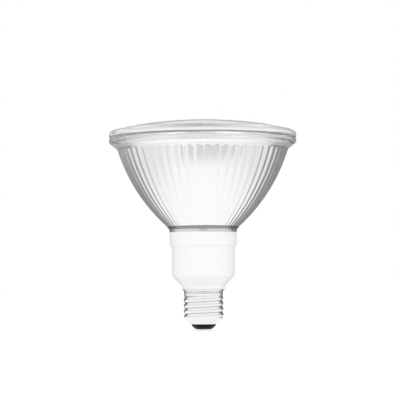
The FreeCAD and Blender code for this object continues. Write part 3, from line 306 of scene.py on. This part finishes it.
class Field:
    """A value that nodes work out at each point; it takes part in sums as a number does."""

    def __init__(self, tree, socket):
        self.tree = tree
        self.socket = socket

    def combine(self, operation, first, second=0.0):
        node = self.tree.nodes.new("ShaderNodeMath")
        node.operation = operation
        for i, value in enumerate((first, second)):
            if isinstance(value, Field):
                self.tree.links.new(value.socket, node.inputs[i])
            else:
                node.inputs[i].default_value = value
        return Field(self.tree, node.outputs["Value"])

    def __add__(self, other):
        return self.combine("ADD", self, other)

    def __sub__(self, other):
        return self.combine("SUBTRACT", self, other)

    def __rsub__(self, other):
        return self.combine("SUBTRACT", other, self)

    def __mul__(self, other):
        return self.combine("MULTIPLY", self, other)

    def __truediv__(self, other):
        return self.combine("DIVIDE", self, other)

    def __neg__(self):
        return self * -1

    def __abs__(self):
        return self.combine("ABSOLUTE", self)

    def fraction(self):
        return self.combine("FRACT", self)

    def angle_from(self, across):
        return self.combine("ARCTAN2", self, across)

    def above(self, limit):
        return self.combine("GREATER_THAN", self, limit)

    def larger(self, other):
        return self.combine("MAXIMUM", self, other)

    def mapped(self, limits, values=(0.0, 1.0), interpolation="SMOOTHSTEP"):
        """Carries the value from one range to another, and holds it at the ends."""
        node = self.tree.nodes.new("ShaderNodeMapRange")
        node.interpolation_type = interpolation
        node.inputs["From Min"].default_value, node.inputs["From Max"].default_value = limits
        node.inputs["To Min"].default_value, node.inputs["To Max"].default_value = values
        self.tree.links.new(self.socket, node.inputs["Value"])
        return Field(self.tree, node.outputs["Result"])

    def drive(self, socket):
        self.tree.links.new(self.socket, socket)

    def tint(self, socket):
        """Gives a colour socket the value as a grey."""
        grey = self.tree.nodes.new("ShaderNodeCombineColor")
        for channel in ("Red", "Green", "Blue"):
            self.drive(grey.inputs[channel])
        self.tree.links.new(grey.outputs["Color"], socket)


def object_place(tree):
    return tree.nodes.new("ShaderNodeTexCoord").outputs["Object"]


def scene_place(tree):
    return tree.nodes.new("ShaderNodeNewGeometry").outputs["Position"]


def parts_of(tree, vector):
    """The X, Y and Z of a vector."""
    split = tree.nodes.new("ShaderNodeSeparateXYZ")
    tree.links.new(vector, split.inputs["Vector"])
    return [Field(tree, split.outputs[name]) for name in ("X", "Y", "Z")]


def length_of(tree, vector):
    reach = tree.nodes.new("ShaderNodeVectorMath")
    reach.operation = "LENGTH"
    tree.links.new(vector, reach.inputs[0])
    return Field(tree, reach.outputs["Value"])


def noise(tree, vector, scale, detail=2):
    speckle = tree.nodes.new("ShaderNodeTexNoise")
    speckle.inputs["Scale"].default_value = scale
    speckle.inputs["Detail"].default_value = detail
    tree.links.new(vector, speckle.inputs["Vector"])
    return Field(tree, speckle.outputs["Fac"])


def ray(tree, kind):
    """1 on a ray of this kind, and 0 on the others."""
    path = tree.nodes.new("ShaderNodeLightPath")
    return Field(tree, path.outputs["Is " + kind + " Ray"])


def distance_out(tree):
    """Distance of the shaded point from the lamp's axis, in metres."""
    flat = tree.nodes.new("ShaderNodeVectorMath")
    flat.operation = "MULTIPLY"
    flat.inputs[1].default_value = (1, 1, 0)
    tree.links.new(object_place(tree), flat.inputs[0])
    return length_of(tree, flat.outputs["Vector"])


def streaks(tree):
    """Noise drawn out level round the lamp, as pressed glass shows it."""
    stretch = tree.nodes.new("ShaderNodeMapping")
    stretch.inputs["Scale"].default_value = STREAK_SCALE
    tree.links.new(object_place(tree), stretch.inputs["Vector"])
    return noise(tree, stretch.outputs["Vector"], 1).mapped(STREAK_LIMITS)


def metres(limits):
    return [limit * MM for limit in limits]


def blend(height, width):
    """Limits in metres of a change; its first height and its width are in millimetres."""
    return metres((height, height + width))


# Materials

def new_material(name, colour, metallic=0.0, transmission=0.0, ior=1.5, subsurface=0.0):
    material = bpy.data.materials.new(name)
    material.use_nodes = True
    tree = material.node_tree
    shader = tree.nodes["Principled BSDF"]
    shader.inputs["Base Color"].default_value = (*colour, 1)
    shader.inputs["Metallic"].default_value = metallic
    shader.inputs["Transmission Weight"].default_value = transmission
    shader.inputs["IOR"].default_value = ior
    shader.inputs["Subsurface Weight"].default_value = subsurface
    shader.inputs["Subsurface Scale"].default_value = GLOW_DEPTH
    return material, tree, shader


def add_grain(tree, shader, roughness, grain=0.06, scale=900, bump=0.0):
    """Roughness and relief from fine procedural noise."""
    speckle = noise(tree, object_place(tree), scale, 3)
    dull = speckle.mapped((0.0, 1.0), (max(roughness - grain, 0), roughness + grain), "LINEAR")
    dull.drive(shader.inputs["Roughness"])
    if bump:
        relief = tree.nodes.new("ShaderNodeBump")
        relief.inputs["Strength"].default_value = bump
        relief.inputs["Distance"].default_value = RELIEF_DEPTH
        speckle.drive(relief.inputs["Height"])
        tree.links.new(relief.outputs["Normal"], shader.inputs["Normal"])


def plain(name, colour, roughness, grain=0.06, scale=900, bump=0.0, **looks):
    """A material of one colour with a fine grain."""
    material, tree, shader = new_material(name, colour, **looks)
    add_grain(tree, shader, roughness, grain, scale, bump)
    return material


def pressed_glass():
    """Clear in the middle of the lens, a little hazy and streaked towards its edge."""
    material, tree, shader = new_material("pressed_glass", (1, 1, 1), ior=GLASS_INDEX)
    edge = distance_out(tree).mapped(metres(LENS_HAZE_REACH))
    haze = edge * (streaks(tree) * RIM_STREAKS + LENS_HAZE)
    (1 - haze).drive(shader.inputs["Transmission Weight"])
    (edge * RIM_ROUGHNESS + POLISH).drive(shader.inputs["Roughness"])
    (1 - edge * (1 - RIM_TINT)).tint(shader.inputs["Base Color"])
    return material


def mirror_glass():
    """Mirror under glass on the bowl, satin at the foot of the rim, clear glass above."""
    material, tree, shader = new_material("mirror_glass", (1, 1, 1), ior=GLASS_INDEX)
    height = parts_of(tree, object_place(tree))[2]
    clear = height.mapped(blend(bowl_mouth + COAT_RISE, COAT_BLEND))
    satin = height.mapped(blend(bowl_mouth, SATIN_BLEND)) - clear
    mirror = 1 - (clear + satin)
    (mirror + satin * SATIN_METAL).drive(shader.inputs["Metallic"])
    haze = streaks(tree) * RIM_STREAKS + RIM_HAZE
    (clear * (1 - haze)).drive(shader.inputs["Transmission Weight"])
    dull = mirror * MIRROR_ROUGHNESS + satin * SATIN_ROUGHNESS + clear * RIM_ROUGHNESS
    dull.drive(shader.inputs["Roughness"])
    (MIRROR_GREY - clear * (MIRROR_GREY - RIM_TINT)).tint(shader.inputs["Base Color"])
    return material


def threaded_metal():
    """Bright plated sheet, with painted shade along the thread's root and a painted dark reflection along
    its crest.
    """
    material, tree, shader = new_material("shell_metal", (METAL_GREY,) * 3, metallic=1)
    add_grain(tree, shader, SHELL_ROUGHNESS, grain=0.05, bump=0.05)
    x, y, height = parts_of(tree, object_place(tree))
    climb = (height - thread_foot * MM) * (1 / (THREAD_PITCH * MM))
    turn = (y.angle_from(x) + THREAD_START) * (1 / (2 * math.pi))
    off_root = abs((climb - turn).fraction() - 0.5)
    root = off_root.mapped(ROOT_PHASES, (1.0, 0.0))
    crest = off_root.mapped(CREST_PHASES)
    on_thread = height.mapped(blend(thread_foot, THREAD_BLEND))
    on_thread = on_thread - height.mapped(blend(band_foot - THREAD_BLEND, THREAD_BLEND))
    # dull here is painted shade and painted reflection taken off the base colour along root and crest, not
    # roughness
    dull = (root * ROOT_SHADE + crest * CREST_SHADE) * on_thread
    (METAL_GREY - dull).tint(shader.inputs["Base Color"])
    return material


def ring_metal():
    """Bright sheet on the ring's wall, and a painted shade of darker grey on its flared lip, standing in
    for the dark it reflects.
    """
    material, tree, shader = new_material("ring_metal", (METAL_GREY,) * 3, metallic=1)
    add_grain(tree, shader, RING_ROUGHNESS, grain=0.04)
    height = parts_of(tree, object_place(tree))[2]
    mix = tree.nodes.new("ShaderNodeMix")
    mix.data_type = "RGBA"
    mix.inputs["A"].default_value = (METAL_GREY, METAL_GREY, METAL_GREY, 1)
    mix.inputs["B"].default_value = RING_LIP_PAINTED_SHADE
    # lip: where the painted shade takes over from the bright wall
    lip = height.mapped(blend(deck_top + RING_HEIGHT - RING_BLEND, 2 * RING_BLEND))
    lip.drive(mix.inputs["Factor"])
    tree.links.new(mix.outputs["Result"], shader.inputs["Base Color"])
    return material


shell_metal = threaded_metal()
contact_metal = plain("contact_metal", (0.88, 0.88, 0.87), 0.25, metallic=1)
black_glass = plain("black_glass", (0.006, 0.006, 0.006), 0.3, ior=1.2, grain=0.05)
white_plastic = plain("white_plastic", (0.93, 0.93, 0.925), 0.34, grain=0.03, scale=2500, bump=0.03)
clear_glass = plain("clear_glass", (1, 1, 1), POLISH, transmission=1, ior=GLASS_INDEX, grain=POLISH)
sealant = plain("sealant", (0.55, 0.55, 0.54), 0.5)
steel_wire = plain("steel_wire", (0.7, 0.7, 0.7), 0.3, metallic=1)
dark_metal = plain("dark_metal", (0.42, 0.42, 0.43), 0.35, metallic=1)
bright_sheet = plain("bright_sheet", (0.9, 0.9, 0.9), 0.15, metallic=1)
ceramic = plain("ceramic", (0.9, 0.89, 0.85), 0.6, scale=1500, bump=0.1)
alumina = plain("alumina", (0.92, 0.91, 0.87), 0.45, subsurface=0.5)
cement = plain("cement", (0.72, 0.7, 0.64), 0.9, scale=2500, bump=0.6)
black_sleeve = plain("black_sleeve", (0.03, 0.03, 0.035), 0.3)
ferrite = plain("ferrite", (0.06, 0.06, 0.065), 0.6, bump=0.2)
bobbin_plastic = plain("bobbin_plastic", (0.07, 0.07, 0.07), 0.45)
copper = plain("copper", (0.72, 0.33, 0.16), 0.3, metallic=1)
red_plastic = plain("red_plastic", (0.6, 0.09, 0.05), 0.3)
yellow_plastic = plain("yellow_plastic", (0.8, 0.56, 0.08), 0.3)
chip_plastic = plain("chip_plastic", (0.03, 0.03, 0.033), 0.5)
green_coat = plain("green_coat", (0.05, 0.16, 0.08), 0.5)
grey_coat = plain("grey_coat", (0.2, 0.32, 0.27), 0.6)
red_sleeve = plain("red_sleeve", (0.62, 0.04, 0.03), 0.4)
white_sleeve = plain("white_sleeve", (0.85, 0.85, 0.83), 0.4)
laminate = plain("laminate", (0.06, 0.24, 0.1), 0.35, scale=3000, bump=0.1)

NODE_MATERIALS = {
    "centre_contact": contact_metal,
    "base_insulator": black_glass,
    "lower_housing": white_plastic,
    "upper_housing": white_plastic,
    "neck_ring": ring_metal(),
    "lens_sealant": sealant,
    "neck_cement": cement,
    "neck_shield": bright_sheet,
    "burner_holder": ceramic,
    "holder_cement": cement,
    "burner_capsule": clear_glass,
    "arc_tube": alumina,
    "arc_electrodes": dark_metal,
    "frame_wire_long": dark_metal,
    "frame_wire_short": dark_metal,
    "pinch_foils": dark_metal,
    "capsule_pins": steel_wire,
    "bulk_capacitor": black_sleeve,
    "transformer_core": ferrite,
    "transformer_bobbin": bobbin_plastic,
    "transformer_winding": copper,
    "filter_choke_core": ferrite,
    "filter_choke_winding": copper,
    "igniter_core": ferrite,
    "igniter_winding": copper,
    "film_capacitor": red_plastic,
    "ignition_capacitor": yellow_plastic,
    "controller_chip": chip_plastic,
    "rectifier_diodes": chip_plastic,
    "thermistor": green_coat,
    "spark_gap": ceramic,
    "fuse_resistor": grey_coat,
    "line_wire": red_sleeve,
    "neutral_wire": white_sleeve,
    "power_transistor_1": chip_plastic,
    "power_transistor_2": chip_plastic,
    "circuit_board": laminate,
}
for node, material in NODE_MATERIALS.items():
    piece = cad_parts[node]
    piece.data.materials.clear()
    piece.data.materials.append(material)


# Screw shell: the part's own formula, finer, with the punch marks pressed in

def smooth_step(value):
    value = min(max(value, 0), 1)
    return value * value * (3 - 2 * value)


def stake_dent(height, angle):
    """Depth of the nearest punch mark at a place on the band."""
    step = 2 * math.pi / STAKE_COUNT
    off = (angle - math.pi / 2 + step / 2) % step - step / 2
    across = off * BAND_RADIUS
    up = height - (shell_top - BAND_LIP_HEIGHT - 2 * STAKE_RADIUS)
    reach = math.sqrt(STAKE_RADIUS ** 2 - (STAKE_RADIUS - STAKE_DEPTH) ** 2)
    away = math.hypot(across, up) / reach
    return STAKE_DEPTH * (1 - away ** 2) if away < 1 else 0


def shell_radius(height, angle):
    """Outside of the sheet: a swollen cup, the thread, then the grooved band with its lip."""
    if height < thread_foot:
        share = (height - shell_foot) / SHELL_CUP_HEIGHT
        swollen = share + SHELL_CUP_BULGE * share * (1 - share)
        radius = SHELL_EDGE_RADIUS + (thread_middle - SHELL_EDGE_RADIUS) * swollen
    else:
        into_band = smooth_step((height - band_foot) / THREAD_RUN_OUT + 0.5)
        radius = thread_middle + (BAND_RADIUS - thread_middle) * into_band
    groove = min(abs(height - band_foot) / (BAND_GROOVE_WIDTH / 2), 1)
    radius -= BAND_GROOVE_DEPTH * (1 - groove ** 2) ** 2
    radius += BAND_LIP * smooth_step((height - shell_top) / BAND_LIP_HEIGHT + 1)
    fade = smooth_step((height - thread_foot) / THREAD_RUN_OUT + 0.5)
    fade *= smooth_step((band_foot - height) / THREAD_RUN_OUT)
    phase = 2 * math.pi * (height - thread_foot) / THREAD_PITCH - angle - THREAD_START
    radius += fade * THREAD_DEPTH / 2 * math.cos(phase)
    return radius - stake_dent(height, angle)


def shell_row(height, inset):
    row = []
    for angle in turns(SHELL_AROUND):
        row.append(round_point(shell_radius(height, angle) - inset, angle, height))
    return row


def make_shell():
    """The sheet's outside up, its inside down, and the lip that turns in round the insulator."""
    rows = [shell_row(height, 0) for height in spread(shell_foot, shell_top, SHELL_LEVELS)]
    rows += [shell_row(height, SHELL_WALL) for height in spread(shell_top, shell_foot, SHELL_INNER_LEVELS)]
    for height in (shell_foot + SHELL_WALL, shell_foot):
        rows.append([round_point(INSULATOR_RADIUS + FIT, angle, height) for angle in turns(SHELL_AROUND)])
    return mesh_object("shell_sheet", rows)


shell = make_shell()
sharpen(shell, SHELL_CREASE)
shell.data.materials.append(shell_metal)
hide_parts("screw_shell")


# Bowl: the part's own arc, flutes, shoulder and rim, finer

def bowl_radius(height, inset=0.0):
    return bowl_centre[0] + math.sqrt((bowl_arc - inset) ** 2 - (height - bowl_centre[1]) ** 2)


def head_radius(height):
    """Radius of the smooth shoulder, and of the cone below it that ends the flutes."""
    if height < taper_foot:
        return 0
    if height >= shoulder_foot:
        return bowl_radius(height, -SHOULDER_PROUD)
    low_radius = bowl_radius(taper_foot) - SHOULDER_TAPER_DEPTH
    share = (height - taper_foot) / SHOULDER_TAPER
    return low_radius + (bowl_radius(shoulder_foot, -SHOULDER_PROUD) - low_radius) * share


def flute_point(share, radius, centre):
    """A point across one flute, from its left valley to its right one."""
    half = math.pi / FLUTE_COUNT
    valley = 1 - FLUTE_RELIEF
    crown = 2 - valley * math.cos(half)
    poles = [(valley, -half), (crown, 0), (valley, half)]
    weights = ((1 - share) ** 2, 2 * share * (1 - share), share ** 2)
    x = sum(w * r * math.cos(a + centre) for w, (r, a) in zip(weights, poles))
    y = sum(w * r * math.sin(a + centre) for w, (r, a) in zip(weights, poles))
    return x * radius, y * radius


def bowl_row(height):
    """One ring of points round the bowl, fluted below the shoulder."""
    row = []
    radius = bowl_radius(height)
    least = head_radius(height)
    for flute in range(FLUTE_COUNT):
        centre = FLUTE_START + 2 * math.pi * flute / FLUTE_COUNT
        for step in range(FLUTE_STEPS):
            x, y = flute_point(step / FLUTE_STEPS, radius, centre)
            lift = least / math.hypot(x, y)
            if height < shoulder_foot:
                lift = max(lift, 1)
            row.append((x * lift, y * lift, height))
    return row


def round_row(radius, height):
    """One ring of points at the same angles as a fluted row."""
    row = []
    for x, y, z in bowl_row(bowl_foot):
        out = math.hypot(x, y)
        row.append((x / out * radius, y / out * radius, height))
    return row


def rim_outline():
    """The rim's outside from its cone up over both rounds, and in to the mouth."""
    slope = math.degrees(math.atan2(rim_land_foot - bowl_mouth, RIM_LEDGE - SHOULDER_PROUD))
    turn = RIM_ROUND * math.tan(math.radians(90 - slope) / 2)
    rim = arc_points((RIM_RADIUS - RIM_ROUND, rim_land_foot + turn), RIM_ROUND,
                     slope - 90, 0, RIM_ROUND_STEPS)
    rim += arc_points((RIM_RADIUS - RIM_EDGE_ROUND, rim_top - RIM_EDGE_ROUND), RIM_EDGE_ROUND,
                      0, 90, RIM_EDGE_STEPS)
    return rim + [(bowl_radius(rim_top, BOWL_WALL), rim_top)]


def make_bowl():
    """The neck, the fluted outside, the rim, and the smooth inside back down to the neck."""
    flutes_foot = bowl_foot - FLUTE_FOOT_SETBACK
    rows = [round_row(NECK_RADIUS, neck_foot)]
    rows.append(round_row(NECK_RADIUS, flutes_foot - ROW_GAP))
    rows += [bowl_row(height) for height in spread(flutes_foot, taper_foot, BOWL_LEVELS)]
    rows += [bowl_row(height) for height in spread(taper_foot + ROW_GAP, shoulder_foot, TAPER_LEVELS)]
    rows += [bowl_row(height) for height in spread(shoulder_foot + ROW_GAP, bowl_mouth, SHOULDER_LEVELS)]
    rows += [round_row(radius, height) for radius, height in rim_outline()]
    inside = bowl_arc - BOWL_WALL
    inner_foot = bowl_centre[1] - math.sqrt(inside ** 2 - (NECK_BORE - bowl_centre[0]) ** 2)
    for height in spread(rim_top - ROW_GAP, inner_foot, BOWL_LEVELS):
        rows.append(round_row(bowl_radius(height, BOWL_WALL), height))
    rows.append(round_row(NECK_BORE, neck_foot))
    return mesh_object("bowl_glass", rows)


bowl = make_bowl()
sharpen(bowl, GLASS_CREASE)
bowl.data.materials.append(mirror_glass())
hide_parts("reflector")


# Lens: clear dome on its flange

def lens_outline():
    """The dome from its top out, both rounds of the flange, and the hollow underside back in."""
    edge = RIM_RADIUS - LENS_ROUND
    mouth = bowl_radius(rim_top, BOWL_WALL)
    dome = (edge ** 2 + LENS_RISE ** 2) / (2 * LENS_RISE)
    centre = lens_top - dome
    outline = []
    for share in spread(LENS_HUB_SHARE, 1, LENS_LEVELS):
        radius = edge * share
        outline.append((radius, centre + math.sqrt(dome ** 2 - radius ** 2)))
    slope = math.asin(edge / dome)
    reach = LENS_ROUND_SHARE * LENS_ROUND / math.cos(slope)
    edge_round = reach / math.tan((math.pi / 2 - slope) / 2)
    arc_height = lens_land_top - LENS_ROUND * math.tan(slope) - reach
    outline += arc_points((RIM_RADIUS - edge_round, arc_height), edge_round,
                          90 - math.degrees(slope), 0, LENS_ROUND_STEPS)
    outline += arc_points((RIM_RADIUS - LENS_FOOT_ROUND, lens_foot + LENS_FOOT_ROUND),
                          LENS_FOOT_ROUND, 0, -90, LENS_FOOT_STEPS)
    outline.append((mouth, lens_foot))
    for share in spread(1, LENS_HUB_SHARE, LENS_LEVELS):
        radius = (mouth - FIT) * share
        outline.append((radius, centre + math.sqrt((dome - LENS_THICKNESS) ** 2 - radius ** 2)))
    return outline


def make_lens():
    rows = []
    for radius, height in reversed(lens_outline()):
        rows.append([round_point(radius, angle, height) for angle in turns(LENS_AROUND)])
    return mesh_object("lens_glass", rows, closed_rows=False)


lens = make_lens()
sharpen(lens, GLASS_CREASE)
lens.data.materials.append(pressed_glass())
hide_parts("front_lens")


# Stage: floor, card, studio, lamps and camera

def stage_plane(name, height, material):
    bpy.ops.mesh.primitive_plane_add(size=1, location=(0, 0, height))
    plane = bpy.context.object
    plane.name = name
    plane.scale = (*STAGE_SIZE, 1)
    plane.data.materials.append(material)
    return plane


def stage_material(name, grey, roughness):
    """A matt material that can give off white light of its own."""
    material, tree, shader = new_material(name, (grey,) * 3)
    shader.inputs["Roughness"].default_value = roughness
    shader.inputs["Specular IOR Level"].default_value = 0
    shader.inputs["Emission Color"].default_value = (1, 1, 1, 1)
    return material, tree, shader


def floor_material():
    """White floor that takes shadows, lifted a little for the camera so that it meets the backdrop."""
    material, tree, shader = stage_material("studio_floor", FLOOR_GREY, FLOOR_ROUGHNESS)
    seen = ray(tree, "Camera").larger(ray(tree, "Transmission")).larger(ray(tree, "Glossy"))
    lift = length_of(tree, scene_place(tree)).mapped(FLOOR_REACH, FLOOR_LIFT)
    (lift * seen).drive(shader.inputs["Emission Strength"])
    return material


def card_material():
    """What polished parts see below them: pale, darker behind the lamp, a grey patch in front."""
    material, tree, shader = stage_material("low_card", 0, 1)
    x, y, z = parts_of(tree, scene_place(tree))
    aside = abs(x)
    start = aside * SHADE_START_SLOPE + SHADE_START
    width = aside * SHADE_WIDTH_SLOPE + SHADE_WIDTH
    along = (y - start) / width + x.above(0) * SHADE_RIGHT_LEAD
    behind = along.mapped(SHADE_LIMITS)
    lane = x.mapped(PATCH_LEFT) * x.mapped(PATCH_RIGHT, (1.0, 0.0))
    patch = (-y).mapped(PATCH_AHEAD) * lane * PATCH_SHADE
    light = aside.mapped(SIDE_REACH, (1.0, SIDE_LIGHT)) * (1 - patch)
    cloud = noise(tree, scene_place(tree), CLOUD_SCALE).mapped(CLOUD_LIMITS, CLOUD_SHADES)
    shade = cloud + (-x).mapped(FAR_LEFT) * FAR_LEFT_LIFT
    (light + behind * (shade - light)).drive(shader.inputs["Emission Strength"])
    return material


def glossy_only(card):
    """A card that shows only in reflections, and neither shades nor lights anything."""
    card.visible_camera = False
    card.visible_diffuse = False
    card.visible_shadow = False
    card.visible_transmission = False
    card.visible_volume_scatter = False


def mirrored_light(direction):
    """What mirrors see of the studio: white, dimmed behind, low down in front and near the horizon."""
    x, y, z = direction
    low_down = z.mapped(LOW_DOWN, (1.0, 0.0))
    to_side = abs(x).mapped(SIDEWAYS) * z.mapped(SIDEWAYS_UP, (1.0, 0.0))
    behind = (y + x * BEHIND_SKEW).mapped(BEHIND) * low_down.larger(to_side)
    ahead = (-y).mapped(AHEAD) * low_down
    horizon = z.mapped(HORIZON, (1.0, 0.0)) * (1 - behind)
    return 1 - behind * BEHIND_SHADE - ahead * AHEAD_SHADE - horizon * HORIZON_SHADE


def ceiling_light(tree, vector, up):
    """What shows through the glass: white, with a dimmer ceiling round a bright box."""
    toward_box = tree.nodes.new("ShaderNodeVectorMath")
    toward_box.operation = "DOT_PRODUCT"
    toward_box.inputs[1].default_value = Vector(BOX_DIRECTION).normalized()
    tree.links.new(vector, toward_box.inputs[0])
    box = Field(tree, toward_box.outputs["Value"]).mapped(BOX_EDGE)
    return 1 - up.mapped(CEILING) * (1 - box) * CEILING_SHADE


def make_world():
    """A white backdrop for the camera, and softer values for mirrors, glass and diffuse light."""
    world = bpy.data.worlds.new("studio")
    bpy.context.scene.world = world
    world.use_nodes = True
    tree = world.node_tree
    background = tree.nodes["Background"]
    background.inputs["Color"].default_value = (1, 1, 1, 1)
    vector = tree.nodes.new("ShaderNodeTexCoord").outputs["Generated"]
    direction = parts_of(tree, vector)
    camera_ray = ray(tree, "Camera")
    passing = ray(tree, "Transmission")
    glossy = ray(tree, "Glossy")
    strength = camera_ray + passing * ceiling_light(tree, vector, direction[2])
    strength = strength + glossy * (1 - passing) * mirrored_light(direction)
    lighting = 1 - camera_ray.larger(passing.larger(glossy))
    (strength + lighting * WORLD_LIGHT).drive(background.inputs["Strength"])


def softbox(name, place, target, size, power):
    data = bpy.data.lights.new(name, "AREA")
    data.shape = "RECTANGLE"
    data.size, data.size_y = size
    data.energy = power
    lamp = bpy.data.objects.new(name, data)
    bpy.context.scene.collection.objects.link(lamp)
    lamp.location = place
    lamp.visible_glossy = False
    lamp.rotation_euler = (Vector(target) - Vector(place)).to_track_quat("-Z", "Y").to_euler()


def make_camera():
    data = bpy.data.cameras.new("camera")
    data.sensor_width = CAMERA_SENSOR
    data.lens = CAMERA_LENS
    camera = bpy.data.objects.new("camera", data)
    bpy.context.scene.collection.objects.link(camera)
    camera.location = (CAMERA_ASIDE, -CAMERA_DISTANCE, CAMERA_HEIGHT)
    aim = Vector((CAMERA_ASIDE, 0, CAMERA_AIM)) - camera.location
    turn = aim.to_track_quat("-Z", "Y") @ Quaternion((0, 0, 1), math.radians(CAMERA_ROLL))
    camera.rotation_euler = turn.to_euler()
    bpy.context.scene.camera = camera


stage_plane("studio_floor", FLOOR_HEIGHT, floor_material())
glossy_only(stage_plane("low_card", CARD_HEIGHT, card_material()))
make_world()
for values in SOFTBOXES:
    softbox(*values)
make_camera()

bpy.context.scene.view_settings.view_transform = "Standard"
